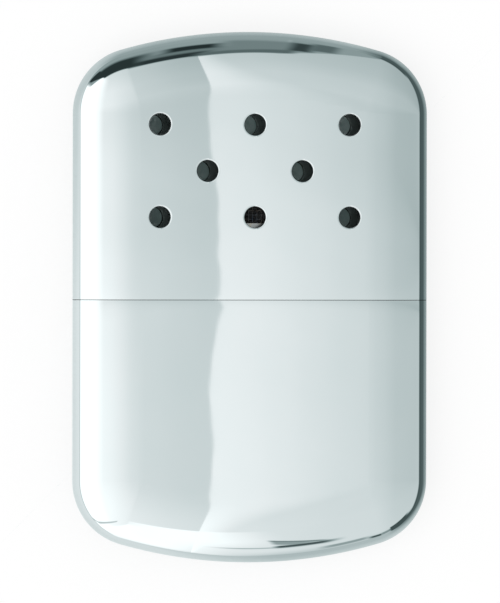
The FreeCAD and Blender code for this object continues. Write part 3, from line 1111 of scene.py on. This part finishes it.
# --- Wire cloth and fillings --------------------------------------------------------------------
@dataclass(frozen=True)
class WireCloth:
    """A plain weave of round wire, as deep as two wires."""

    node: str
    name: str
    wrap: float = 0.0  # how far each side runs on round the end of the housing
    pitch: float = 0.8 * MM
    sides: int = 8
    steps: int = 6  # along each wire, from one crossing to the next

    def weave(self, core: float) -> Object:
        """Weave the cloth into the space of its solid.

        Args:
            core: Height of the housing's middle plane, which the wrapped sides turn about.

        Returns:
            The woven piece.
        """
        low, high = (np.array(corner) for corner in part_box(self.node))
        wire = (high[2] - low[2]) / 2
        middle = (low + high) / 2
        reach = high[0]
        low[0], high[0] = low[0] - self.wrap, high[0] + self.wrap
        counts = np.floor((high - low - wire) / self.pitch).astype(int)
        warp, weft = (
            middle[axis] + (np.arange(counts[axis] + 1) - counts[axis] / 2) * self.pitch for axis in (0, 1)
        )
        wires = []
        for own, other, axis in ((warp, weft, 1), (weft, warp, 0)):
            count = round((high[axis] - low[axis]) / self.pitch * self.steps)
            run = np.linspace(low[axis], high[axis], count + 1)
            for i, place in enumerate(own):
                path = np.empty((len(run), 3))
                path[:, axis] = run
                path[:, 1 - axis] = place
                rise = np.cos(math.pi * ((run - other[0]) / self.pitch + i + axis))
                path[:, 2] = middle[2] + wire / 2 * rise
                if self.wrap:
                    path = self.wrapped(path, reach, core, middle[2])
                wires.append(tube(path, np.full(len(run), wire / 2), self.sides))
        return make_mesh(self.name, *gather(wires))

    def wrapped(self, path: np.ndarray, reach: float, core: float, level: float) -> np.ndarray:
        """Bend what lies beyond the housing's flat round its end.

        Args:
            path: Points of a wire, laid out flat.
            reach: Half the width of the housing's flat.
            core: Height of the housing's middle plane.
            level: Height of the flat cloth.

        Returns:
            The bent points.
        """
        side = math.copysign(1.0, level - core)
        beyond = np.maximum(np.abs(path[:, 0]) - reach, 0.0)
        turn = beyond / abs(level - core)
        out = (path[:, 2] - core) * side
        bent = path.copy()
        bent[:, 0] = np.sign(path[:, 0]) * (np.abs(path[:, 0]) - beyond + out * np.sin(turn))
        bent[:, 2] = core + side * out * np.cos(turn)
        return bent


@dataclass(frozen=True)
class Wad:
    """A soft filling: a lumpy core in its solid's space, with loose fibres lying on it."""

    node: str
    name: str
    voxel: float
    sink: float  # how far the core stays inside its space, which the loose fibres fill
    lump: float  # how much deeper its hollows are
    lump_size: float
    fibre_count: int
    fibre_diameter: float
    fibre_length: float
    seed: int
    fill: float
    lump_octaves: tuple[float, float, int] = (0.9, 2.1, 3)  # their smoothness, spacing and number
    smoothings: int = 3
    fibre_steps: int = 14
    fibre_sides: int = 5
    fibre_curl: float = 0.35  # spread of the fibres' turn at each step, in radians
    fibre_wander: float = 0.2  # the same, of how uneven that turn is
    fibre_lift: float = 0.8  # share of the sink by which a fibre's middle rises
    fibre_taper: float = 0.25  # how near to a point a fibre's ends come, in radians of an arch

    def build(self, body: Body, slot: str, finish: Material) -> Object:
        """Make the wad and seat it.

        Args:
            body: What it moves with.
            slot: The material slot that names its finish in the part's record.
            finish: Its material.

        Returns:
            The wad, as one mesh.
        """
        points, faces, normals = self.core()
        surface = BVHTree.FromPolygons(points.tolist(), faces)
        places = [Vector(point) / self.lump_size for point in points.tolist()]
        hollow = np.array([noise.fractal(place, *self.lump_octaves) for place in places])
        hollow = np.clip(0.5 + hollow, 0.0, 1.0)
        sunk = points - normals * (self.sink + self.lump * hollow[:, None])
        mesh = gather([(sunk, faces), *self.fibres(points, faces, surface)])
        piece = seat(make_mesh(self.name, *mesh), self.node, body, slot, finish)
        return piece

    def core(self) -> tuple[np.ndarray, Faces, np.ndarray]:
        """Remesh the solid evenly.

        Returns:
            Its points, faces and vertex normals.
        """
        mesh = bpy.data.meshes.new("core")
        form = bmesh.new()
        form.from_mesh(frame["nodes"][self.node].data)
        bmesh.ops.remove_doubles(form, verts=form.verts, dist=self.voxel / 100)
        form.to_mesh(mesh)
        form.free()
        holder = bpy.data.objects.new("core", mesh)
        bpy.context.scene.collection.objects.link(holder)
        remesh = holder.modifiers.new("even", "REMESH")
        remesh.mode = "VOXEL"
        remesh.voxel_size = self.voxel
        holder.modifiers.new("soft", "SMOOTH").iterations = self.smoothings
        evaluated = holder.evaluated_get(bpy.context.evaluated_depsgraph_get())
        even = evaluated.to_mesh()
        points, normals = np.empty((2, len(even.vertices) * 3))
        even.vertices.foreach_get("co", points)
        even.vertex_normals.foreach_get("vector", normals)
        faces = [tuple(face.vertices) for face in even.polygons]
        evaluated.to_mesh_clear()
        bpy.data.objects.remove(holder)
        bpy.data.meshes.remove(mesh)
        return points.reshape(-1, 3), faces, normals.reshape(-1, 3)

    def fibres(self, points: np.ndarray, faces: Faces, surface: BVHTree) -> list[tuple[np.ndarray, Faces]]:
        """Lay loose fibres over the surface, each curling and lifting a little on its way.

        Args:
            points: The surface's points.
            faces: The surface's faces.
            surface: The surface, for finding the nearest place on it.

        Returns:
            The (points, faces) of each fibre.
        """
        draw = np.random.default_rng(self.seed)
        made = []
        step = self.fibre_length / self.fibre_steps
        for start in draw.integers(0, len(faces), self.fibre_count):
            place = Vector(points[list(faces[start])].mean(axis=0))
            heading = Vector(draw.normal(size=3)).normalized()
            curl = draw.normal(0.0, self.fibre_curl)
            path = []
            for i in range(self.fibre_steps + 1):
                nearest, normal, _, _ = surface.find_nearest(place)
                heading = (heading - normal * heading.dot(normal)).normalized()
                heading.rotate(Quaternion(normal, curl + draw.normal(0.0, self.fibre_wander)))
                lift = math.sin(math.pi * i / self.fibre_steps) * self.fibre_lift
                path.append(nearest - normal * (self.sink * (1 - lift) + self.fibre_diameter / 2))
                place = nearest + heading * step
            thin = np.sin(np.linspace(self.fibre_taper, math.pi - self.fibre_taper, len(path))) ** 0.5
            made.append(tube(np.array(path), self.fibre_diameter / 2 * thin, self.fibre_sides))
        return made


# --- Tank and burner ----------------------------------------------------------------------------
@dataclass(frozen=True)
class TankInside:
    """The tank's necked-in collar, its filler neck, and the wick and wadding under it."""

    far_heat: Triple = (0.0, 30 * MM, 6.5 * MM)  # too far off to tint the wick's screen
    felt: Wad = Wad(
        "wick_pad", "wick_felt", voxel=0.28 * MM, sink=0.10 * MM, lump=0.12 * MM, lump_size=1.4 * MM,
        fibre_count=260, fibre_diameter=0.04 * MM, fibre_length=2.2 * MM, seed=3, fill=0.9,
    )
    cotton: tuple[Wad, ...] = tuple(
        Wad(
            f"cotton_{part}", f"wadding_{part}", voxel=0.8 * MM, sink=0.25 * MM, lump=0.9 * MM,
            lump_size=5 * MM, fibre_count=420, fibre_diameter=0.07 * MM, fibre_length=8 * MM,
            seed=20 + i, fill=0.6,
        )
        for i, part in enumerate(("lower", "middle", "upper"))
    )

    def build(self) -> list[Object]:
        """Dress the metal pieces and make the fillings.

        Returns:
            The tank's inner pieces.
        """
        nickel = BrushedNickel().make()
        steel = HeatTintedSteel(name="stamped_steel", hot=self.far_heat).make()
        made = [dress("tank_collar", nickel), dress("neck_tube", nickel), dress("wick_screen", steel)]
        made.append(self.felt.build(Body.TANK, "felt", PRESSED_FELT.make()))
        cotton = CARDED_COTTON.make()
        return made + [wad.build(Body.TANK, "cotton", cotton) for wad in self.cotton]


@dataclass(frozen=True)
class Burner:
    """The slip-on burner: stamped steel round wire cloth, a glass-wool pad and catalyst mats."""

    steel_nodes: tuple[str, ...] = (
        "burner_base", "burner_floor_screen", "burner_frame_front", "burner_frame_rear", "burner_cap",
    )
    cloths: tuple[WireCloth, ...] = (
        WireCloth("window_screen_front", "window_cloth_front", wrap=2.8 * MM),
        WireCloth("window_screen_rear", "window_cloth_rear", wrap=2.8 * MM),
        WireCloth("catalyst_carrier", "carrier_cloth"),
    )
    pad: Wad = Wad(
        "heat_pad", "glass_wool_pad", voxel=0.2 * MM, sink=0.08 * MM, lump=0.12 * MM, lump_size=1.1 * MM,
        fibre_count=320, fibre_diameter=0.03 * MM, fibre_length=2.4 * MM, seed=7, fill=0.7,
    )
    mats: tuple[Wad, ...] = tuple(
        Wad(
            f"catalyst_{part}", f"catalyst_mat_{part}", voxel=0.22 * MM, sink=0.14 * MM, lump=0.35 * MM,
            lump_size=1.6 * MM, fibre_count=520, fibre_diameter=0.035 * MM, fibre_length=3.0 * MM,
            seed=40 + i, fill=0.7,
        )
        for i, part in enumerate(("front", "rear"))
    )

    def build(self) -> list[Object]:
        """Dress the stamped pieces, weave the wire cloth and make the fillings.

        Returns:
            The burner's pieces.
        """
        steel, wire = HeatTintedSteel().make(), OxidisedWire().make()
        made = [dress(node, steel) for node in self.steel_nodes]
        low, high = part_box("burner_cap")
        for cloth in self.cloths:
            woven = cloth.weave(core=(low.z + high.z) / 2)
            made.append(seat(woven, cloth.node, Body.BURNER, "wire_cloth", wire))
        made.append(self.pad.build(Body.BURNER, "glass_wool", GLASS_WOOL.make()))
        fibre = PLATINISED_FIBRE.make()
        return made + [mat.build(Body.BURNER, "catalyst_fibre", fibre) for mat in self.mats]


# --- Studio -------------------------------------------------------------------------------------
class Wall(Enum):
    """A side of the light tent: (outward axis, axis across it, axis up it)."""

    LEFT = ((-1.0, 0.0, 0.0), (0.0, 1.0, 0.0), (0.0, 0.0, 1.0))
    RIGHT = ((1.0, 0.0, 0.0), (0.0, 1.0, 0.0), (0.0, 0.0, 1.0))
    BACK = ((0.0, 1.0, 0.0), (1.0, 0.0, 0.0), (0.0, 0.0, 1.0))
    FRONT = ((0.0, -1.0, 0.0), (1.0, 0.0, 0.0), (0.0, 0.0, 1.0))


@dataclass(frozen=True)
class Card:
    """A softbox or a dark card, placed on a wall a metre away, as metals see it.

    Places are in metres on that wall, measured from the point straight out from the object.
    """

    wall: Wall
    across: Pair
    up: Pair
    level: float
    soft: tuple[float, float, float, float]  # left, right, bottom, top
    slope: float = 0.0  # rise of its top and bottom edges, per metre across


@dataclass(frozen=True)
class LightTent:
    """The room that polished metal reflects: pale cloth overhead, softboxes and dark gaps."""

    # Level of the overhead cloth by degrees from straight up, towards +X.
    crosswise: tuple[Pair, ...] = (
        (-60.0, 1.50),
        (-46.0, 1.44),
        (-28.0, 1.36),
        (-12.0, 1.23),
        (-2.0, 1.14),
        (3.0, 1.10),
        (16.0, 0.97),
        (28.0, 0.93),
        (45.0, 0.85),
        (80.0, 0.80),
    )
    # What that is multiplied by, by degrees from straight up, towards +Y.
    lengthwise: tuple[Pair, ...] = (
        (-75.0, 1.16),
        (-36.0, 1.13),
        (-12.0, 1.08),
        (-3.0, 1.05),
        (0.0, 1.00),
        (2.1, 0.89),
        (6.0, 0.92),
        (12.0, 0.96),
        (30.0, 0.95),
        (50.0, 0.85),
        (75.0, 0.80),
    )
    peak: float = 2.0  # the level that a colour ramp's white stands for
    shade_colour: str = "#CBFFFF"  # what the darkest parts lean to
    neutral_share: float = 0.88  # of the way to white, at a level of one
    overlap: float = 7.38  # degrees: where two widths of cloth meet overhead
    overlap_bow: float = 0.09  # degrees less, for each degree along either way
    overlap_blur: float = 0.05
    under_shade: float = 0.08  # the darker width, by its edge
    under_reach: float = 2.2
    under_spread: float = 0.16  # share by which that reach grows, for each degree along
    under_deepening: float = 2.8  # how much darker it is far towards +Y
    under_deepening_span: Pair = (-5.0, 30.0)  # degrees along
    over_shine: float = 0.24  # the brighter width, by its edge
    over_reach: float = 5.0
    grazing: float = 1e-4  # a direction less outward than this misses a wall
    cards: tuple[Card, ...] = (
        Card(Wall.FRONT, (-2.4, 0.0), (0.10, 0.46), 1.70, (0.4, 0.12, 0.13, 0.05)),
        Card(Wall.FRONT, (-0.55, -0.02), (0.30, 0.58), 1.70, (0.05, 0.06, 0.05, 0.04), 0.75),
        Card(Wall.FRONT, (-0.15, 0.14), (0.34, 0.91), 1.65, (0.06, 0.14, 0.18, 0.03), 0.8),
        Card(Wall.FRONT, (0.12, 2.0), (-0.2, 0.15), 0.72, (0.12, 0.20, 0.1, 0.14)),
        Card(Wall.FRONT, (0.08, 0.24), (0.35, 0.39), 0.75, (0.06, 0.02, 0.01, 0.01)),
        Card(Wall.FRONT, (0.215, 0.33), (0.41, 0.57), 0.52, (0.012, 0.05, 0.03, 0.02), -1.2),
        Card(Wall.FRONT, (0.215, 0.35), (0.51, 0.56), 0.35, (0.012, 0.02, 0.02, 0.02), -1.3),
        Card(Wall.FRONT, (0.215, 0.37), (0.35, 0.43), 0.12, (0.015, 0.04, 0.03, 0.02)),
        Card(Wall.FRONT, (0.33, 0.45), (0.15, 0.23), 0.50, (0.03, 0.02, 0.02, 0.02)),
        Card(Wall.FRONT, (0.455, 0.54), (0.12, 0.19), 0.12, (0.01, 0.03, 0.02, 0.02)),
        Card(Wall.FRONT, (0.54, 0.80), (0.12, 0.20), 0.42, (0.03, 0.03, 0.02, 0.02)),
        Card(Wall.FRONT, (0.78, 1.60), (0.08, 0.25), 0.10, (0.02, 0.20, 0.02, 0.02)),
        Card(Wall.LEFT, (-1.6, 1.2), (-0.1, 0.92), 1.75, (0.3, 0.2, 0.1, 0.30)),
        Card(Wall.LEFT, (-2.6, 2.6), (-0.4, 0.08), 0.80, (0.6, 0.6, 0.1, 0.05)),
        Card(Wall.LEFT, (-2.3, -0.9), (0.72, 0.86), 0.85, (0.1, 0.1, 0.06, 0.04), -1.12),
        Card(Wall.BACK, (-1.60, 0.24), (-0.5, 0.62), 0.50, (0.15, 0.01, 0.1, 0.02)),
        Card(Wall.BACK, (0.24, 0.52), (-0.5, 0.36), 0.48, (0.01, 0.05, 0.1, 0.02), -1.9),
        Card(Wall.BACK, (0.47, 1.40), (-0.2, 0.14), 0.12, (0.04, 0.20, 0.1, 0.02)),
        Card(Wall.BACK, (-0.88, -0.11), (0.31, 0.645), 0.05, (0.04, 0.05, 0.05, 0.03), -0.12),
        Card(Wall.BACK, (-1.40, -0.80), (0.20, 0.565), 0.05, (0.06, 0.04, 0.07, 0.03), 0.34),
        Card(Wall.BACK, (-0.12, 0.12), (0.38, 0.52), 0.28, (0.04, 0.06, 0.03, 0.03)),
        Card(Wall.BACK, (-0.16, 0.05), (0.49, 0.64), 0.05, (0.05, 0.03, 0.04, 0.03)),
        Card(Wall.BACK, (0.08, 0.27), (0.19, 0.50), 0.33, (0.03, 0.02, 0.05, 0.03)),
        Card(Wall.BACK, (0.02, 0.27), (0.50, 0.63), 0.20, (0.03, 0.02, 0.03, 0.03), -0.3),
        Card(Wall.BACK, (-0.07, 0.07), (0.26, 0.40), 0.04, (0.03, 0.03, 0.03, 0.03)),
        Card(Wall.BACK, (0.25, 0.31), (0.19, 0.47), 0.08, (0.02, 0.02, 0.03, 0.03)),
        Card(Wall.BACK, (0.30, 0.37), (0.12, 0.38), 0.20, (0.02, 0.02, 0.05, 0.03), -0.5),
        Card(Wall.RIGHT, (-1.1, 2.3), (-0.5, 0.06), 0.13, (0.2, 0.3, 0.1, 0.02)),
        Card(Wall.RIGHT, (-1.3, -0.5), (0.0, 0.17), 0.12, (0.1, 0.1, 0.04, 0.03), -0.25),
    )

    def level(self, tree: NodeTree) -> NodeSocket:
        """Add the nodes that give the tent's brightness in each direction.

        Args:
            tree: The world's node tree.

        Returns:
            The socket with the level.
        """
        way = add_node(tree, "TexCoord", {}, "Generated")
        level = self.cloth(tree, way)
        for card in self.cards:
            level = self.lay(tree, way, level, card)
        return level

    def toned(self, tree: NodeTree, level: NodeSocket) -> NodeSocket:
        """Add the nodes that colour a level: the darker it is, the cooler.

        Args:
            tree: The node tree that gets the nodes.
            level: The socket with the level.

        Returns:
            The socket with the colour.
        """
        root = add_node(tree, "Math", {0: level, 1: 0.5}, operation="POWER")
        lit = add_node(tree, "Math", {0: root, 1: self.neutral_share}, operation="MULTIPLY")
        tint = add_node(
            tree, "Mix", {"Factor": lit, "A": linear(self.shade_colour), "B": linear(WHITE)}, data_type="RGBA"
        )
        return add_node(tree, "VectorMath", {0: tint, "Scale": level}, operation="SCALE")

    def cloth(self, tree: NodeTree, way: NodeSocket) -> NodeSocket:
        """Add the overhead cloth, whose two widths meet in a soft-edged overlap.

        Args:
            tree: The world's node tree.
            way: The socket with the direction.

        Returns:
            The socket with the cloth's level.
        """
        x, y, z = add_node(tree, "SeparateXYZ", {"Vector": way}).node.outputs
        lean, across, along = (
            add_node(tree, "Math", {0: add_node(tree, "Math", sides, operation=kind)}, operation="DEGREES")
            for kind, sides in (("ARCSINE", {0: x}), ("ARCTAN2", {0: x, 1: z}), ("ARCTAN2", {0: y, 1: z}))
        )
        levels = {0: self.shaded(tree, lean, self.crosswise), 1: self.shaded(tree, along, self.lengthwise)}
        plain = add_node(tree, "Math", levels, operation="MULTIPLY")
        return add_node(tree, "Math", {0: plain, 1: self.fold(tree, across, along)}, operation="MULTIPLY")

    def fold(self, tree: NodeTree, across: NodeSocket, along: NodeSocket) -> NodeSocket:
        """Add the overlap: one width is shaded by its edge, the other shines there.

        Args:
            tree: The world's node tree.
            across: The socket with the degrees from straight up, towards +X.
            along: The same towards +Y.

        Returns:
            The socket with what the cloth's level is multiplied by.
        """
        away = add_node(tree, "Math", {0: along}, operation="ABSOLUTE")
        bowed = add_node(tree, "Math", {0: away, 1: self.overlap_bow, 2: across}, operation="MULTIPLY_ADD")
        past = add_node(tree, "Math", {0: bowed, 1: self.overlap}, operation="SUBTRACT")
        spread = add_node(tree, "Math", {0: away, 1: self.under_spread, 2: 1.0}, operation="MULTIPLY_ADD")
        near = add_node(tree, "Math", {0: past, 1: spread}, operation="DIVIDE")
        by_edge, deepening, over, side = (
            add_node(tree, "MapRange", {"Value": value, FROM: span, TO: levels}, **EASED)
            for value, span, levels in (
                (near, (-self.under_reach, 0.0), (0.0, self.under_shade)),
                (along, self.under_deepening_span, (1.0, self.under_deepening)),
                (past, (0.0, self.over_reach), (1.0 + self.over_shine, 1.0)),
                (past, (-self.overlap_blur, self.overlap_blur), (0.0, 1.0)),
            )
        )
        shade = add_node(tree, "Math", {0: by_edge, 1: deepening}, operation="MULTIPLY")
        under = add_node(tree, "Math", {0: 1.0, 1: shade}, operation="SUBTRACT")
        return add_node(tree, "Mix", {"Factor": side, "A": under, "B": over})

    def shaded(
        self, tree: NodeTree, angle: NodeSocket, levels: tuple[Pair, ...], reach: float = 90.0
    ) -> NodeSocket:
        """Add a level that changes with an angle.

        Args:
            tree: The node tree that gets the nodes.
            angle: The socket with the angle, in degrees.
            levels: The (degrees, level) pairs to pass through.
            reach: The largest angle, in degrees, either way.

        Returns:
            The socket with the level.
        """
        share = add_node(tree, "MapRange", {"Value": angle, FROM: (-reach, reach)})
        ramp = add_node(tree, "ValToRGB", {"Fac": share})
        set_stops(ramp, [
            ((degrees + reach) / (2 * reach), (level / self.peak,) * 3 + (1.0,)) for degrees, level in levels
        ])
        return add_node(tree, "Math", {0: ramp, 1: self.peak}, operation="MULTIPLY")

    def lay(self, tree: NodeTree, way: NodeSocket, under: NodeSocket, card: Card) -> NodeSocket:
        """Lay a card over what is already there.

        Args:
            tree: The world's node tree.
            way: The socket with the direction.
            under: The socket with the level so far.
            card: The card to lay.

        Returns:
            The socket with the level that includes the card.
        """
        reach, sideways, upward = (
            add_node(tree, "VectorMath", {0: way, 1: axis}, operation="DOT_PRODUCT")
            for axis in card.wall.value
        )
        mask = add_node(tree, "Math", {0: reach, 1: self.grazing}, operation="GREATER_THAN")
        across = add_node(tree, "Math", {0: sideways, 1: reach}, operation="DIVIDE")
        up = add_node(tree, "Math", {0: upward, 1: reach}, operation="DIVIDE")
        fall = {0: across, 1: -card.slope, 2: card.slope * sum(card.across) / 2}
        fallen = add_node(tree, "Math", fall, operation="MULTIPLY_ADD")
        level_up = add_node(tree, "Math", {0: up, 1: fallen}, operation="ADD")
        spans = ((across, card.across, card.soft[:2]), (level_up, card.up, card.soft[2:]))
        for place, (low, high), (soft_low, soft_high) in spans:
            for ends in ((low - soft_low, low + soft_low), (high + soft_high, high - soft_high)):
                edge = add_node(tree, "MapRange", {"Value": place, FROM: ends}, **EASED)
                mask = add_node(tree, "Math", {0: mask, 1: edge}, operation="MULTIPLY")
        return add_node(tree, "Mix", {"Factor": mask, "A": under, "B": card.level})


@dataclass(frozen=True)
class Studio:
    """Plain pale floor, soft light and the camera."""

    tent: LightTent = LightTent()
    tilt_x: float = math.radians(8.296)  # of the camera from straight above, towards -X
    tilt_y: float = math.radians(-0.281)
    roll: float = math.radians(0.105)
    distance: float = 1.48
    lens: float = 473.5
    clip: Pair = (0.05, 100.0)
    aim_drop: float = 0.80 * MM
    plain_level: float = 0.78  # of the even light that lands on matt surfaces
    key_strength: float = 0.85
    key_spread: float = math.radians(50.0)
    key_from: Triple = (-0.55, -0.25, 1.0)
    floor_size: float = 30.0
    covered_shade_colour: str = "#B4D4D2"  # painted shade: the floor's teal grey right under the warmer, where little light reaches
    floor_glow: float = 0.78  # share of the floor's whiteness that no shadow takes
    floor_glow_in_metal: float = 0.25
    floor_glow_covered: float = 0.052
    cover_reach: float = 60 * MM  # how far the floor looks for cover
    cover_edge: Pair = (0.06, 0.34)  # share of open sky: covered, open
    # Level of the far floor as polished metal sees it, by degrees round the warmer from +X.
    floor_round: tuple[Pair, ...] = (
        (-180.0, 1.18),
        (-125.0, 1.15),
        (-104.0, 1.08),
        (-90.0, 0.86),
        (-82.0, 0.75),
        (-58.0, 0.74),
        (-38.0, 0.16),
        (62.0, 0.14),
        (67.0, 0.50),
        (112.0, 0.54),
        (125.0, 0.80),
        (180.0, 1.18),
    )
    floor_near: Pair = (-25 * MM, 30 * MM)  # out from the outline: from even to that

    def camera(self, depth_middle: float) -> None:
        """Place the camera over the vented face, aimed at the middle of the warmer.

        Args:
            depth_middle: Height of the warmer's middle.
        """
        target = Vector((0.0, 0.0, depth_middle))
        sx, sy = math.sin(self.tilt_x), math.sin(self.tilt_y)
        cx, cy = math.cos(self.tilt_x), math.cos(self.tilt_y)
        place = target + Vector((-sx, -sy * cx, cy * cx)) * self.distance
        view = (place - target - Vector((0.0, -self.aim_drop, 0.0))).normalized()
        right = Vector((0.0, 1.0, 0.0)).cross(view).normalized()
        up = view.cross(right)
        cos, sin = math.cos(self.roll), math.sin(self.roll)
        turned = Matrix((cos * right + sin * up, cos * up - sin * right, view)).transposed()
        data = bpy.data.cameras.new("camera")
        data.lens = self.lens
        data.clip_start, data.clip_end = self.clip
        camera = bpy.data.objects.new("camera", data)
        camera.matrix_world = Matrix.Translation(place) @ turned.to_4x4()
        bpy.context.scene.collection.objects.link(camera)
        bpy.context.scene.camera = camera

    def world(self) -> None:
        """Light matt surfaces evenly, show white to the camera and the tent to polished metal."""
        world = bpy.data.worlds.new("studio")
        world.use_nodes = True
        tree = world.node_tree
        tree.nodes.clear()
        path = add_node(tree, "LightPath", {}).node.outputs
        glossy, seen, through = (path[f"Is {kind} Ray"] for kind in ("Glossy", "Camera", "Transmission"))
        tent = self.tent.toned(tree, self.tent.level(tree))
        plain = add_node(tree, "Mix", {"Factor": seen, "A": self.plain_level, "B": 1.0})
        clear = add_node(tree, "Math", {0: glossy, 1: through}, operation="MAXIMUM")
        colour = add_node(tree, "Mix", {"Factor": clear, "A": plain, "B": tent}, data_type="RGBA")
        add_node(tree, "OutputWorld", {"Surface": add_node(tree, "Background", {"Color": colour})})
        world.cycles.sampling_method = "NONE"  # the light is even, so it needs no map
        bpy.context.scene.world = world

    def key(self) -> None:
        """Hang a broad soft lamp up on the left, which gives the shadows their side."""
        data = bpy.data.lights.new("key", "SUN")
        data.energy = self.key_strength
        data.angle = self.key_spread
        lamp = bpy.data.objects.new("key", data)
        lamp.rotation_mode = "QUATERNION"
        lamp.rotation_quaternion = Vector(self.key_from).to_track_quat("Z", "Y")
        lamp.visible_glossy = False
        bpy.context.scene.collection.objects.link(lamp)

    def floor(self, half: Pair) -> None:
        """Lay the pale floor that the warmer rests on.

        Args:
            half: Half the warmer's width and length.
        """
        reach = self.floor_size / 2
        corners = np.array([(-reach, -reach, 0), (reach, -reach, 0), (reach, reach, 0), (-reach, reach, 0)])
        floor = make_mesh("floor", corners, [(0, 1, 2, 3)])
        floor.data.materials.append(self.floor_material(half))
        floor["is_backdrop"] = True

    def floor_material(self, half: Pair) -> Material:
        """Make matt white card that keeps a soft shadow and reads as white to the camera, with painted
        teal-grey shade where the warmer covers it.

        Polished metal sees its right and back fall away into the unlit room.

        Args:
            half: Half the warmer's width and length.

        Returns:
            The card's material.
        """
        material = bpy.data.materials.new("matt_white_card")
        material.use_nodes = True
        tree = material.node_tree
        tree.nodes.clear()
        path = add_node(tree, "LightPath", {}).node.outputs
        glossy, seen, through = (path[f"Is {kind} Ray"] for kind in ("Glossy", "Camera", "Transmission"))
        in_metal = self.tent.toned(tree, self.floor_level(tree, half))
        tones = {"Factor": glossy, "A": linear(WHITE), "B": in_metal}
        tone = add_node(tree, "Mix", tones, data_type="RGBA")
        sky = add_node(tree, "AmbientOcclusion", {"Distance": self.cover_reach}, "AO", samples=8)
        open_air = add_node(tree, "MapRange", {"Value": sky, FROM: self.cover_edge}, **EASED)
        # Painted shade: the card turns teal grey where the warmer covers it.
        shades = {"Factor": open_air, "A": linear(self.covered_shade_colour), "B": linear(WHITE)}
        card = add_node(tree, "Mix", shades, data_type="RGBA")
        colour = add_node(tree, "VectorMath", {0: card, 1: tone}, operation="MULTIPLY")
        to_metal = add_node(tree, "Math", {0: glossy, 1: self.floor_glow_in_metal}, operation="MULTIPLY")
        clear = add_node(tree, "Math", {0: seen, 1: through}, operation="MAXIMUM")
        share = add_node(tree, "Math", {0: clear, 1: self.floor_glow, 2: to_metal}, operation="MULTIPLY_ADD")
        shown = add_node(tree, "MapRange", {"Value": open_air, "To Min": self.floor_glow_covered}, **EASED)
        mixed = add_node(tree, "MixShader", {
            0: add_node(tree, "Math", {0: share, 1: shown}, operation="MULTIPLY"),
            1: add_node(tree, "BsdfDiffuse", {"Color": colour}),
            2: add_node(tree, "Emission", {"Color": colour}),
        })
        add_node(tree, "OutputMaterial", {"Surface": mixed})
        return material

    def floor_level(self, tree: NodeTree, half: Pair) -> NodeSocket:
        """Add the nodes for how bright polished metal sees each place of the floor.

        Args:
            tree: The floor material's node tree.
            half: Half the warmer's width and length.

        Returns:
            The socket with the level.
        """
        place = add_node(tree, "TexCoord", {}, "Object")
        x, y, _ = add_node(tree, "SeparateXYZ", {"Vector": place}).node.outputs
        radians = add_node(tree, "Math", {0: y, 1: x}, operation="ARCTAN2")
        turn = add_node(tree, "Math", {0: radians}, operation="DEGREES")
        far = self.tent.shaded(tree, turn, self.floor_round, 180.0)
        folded = add_node(tree, "VectorMath", {0: place}, operation="ABSOLUTE")
        outside = add_node(tree, "VectorMath", {0: folded, 1: (*half, 0.0)}, operation="SUBTRACT")
        x, y, _ = add_node(tree, "SeparateXYZ", {"Vector": outside}).node.outputs
        distance = add_node(tree, "Math", {0: x, 1: y}, operation="MAXIMUM")
        share = add_node(tree, "MapRange", {"Value": distance, FROM: self.floor_near}, **EASED)
        return add_node(tree, "Mix", {"Factor": share, "A": 1.0, "B": far})

    def set_up(self, low: Vector, high: Vector) -> None:
        """Build the whole studio round the warmer.

        Args:
            low: The lowest corner of the warmer's box.
            high: Its highest corner.
        """
        bpy.context.scene.view_settings.view_transform = "Standard"
        self.camera((low.z + high.z) / 2)
        self.world()
        self.key()
        self.floor(((high.x - low.x) / 2, (high.y - low.y) / 2))


def clear_startup() -> None:
    """Remove the objects that Blender starts with, so that only the frame is there."""
    kept = {*frame["nodes"].values(), *frame["bodies"].values()}
    for stray in [o for o in bpy.data.objects if o not in kept]:
        bpy.data.objects.remove(stray)


def main() -> None:
    """Build and dress every piece in order."""
    logging.basicConfig(level=logging.INFO, format="%(name)s: %(message)s")
    clear_startup()
    cad_low, cad_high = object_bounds()
    for assembly in (Casing(), TankInside(), Burner()):
        for piece in assembly.build():
            log.info("%s: %d vertices", piece.name, len(piece.data.vertices))
    Studio().set_up(cad_low, cad_high)


if __name__ == "__main__":
    main()
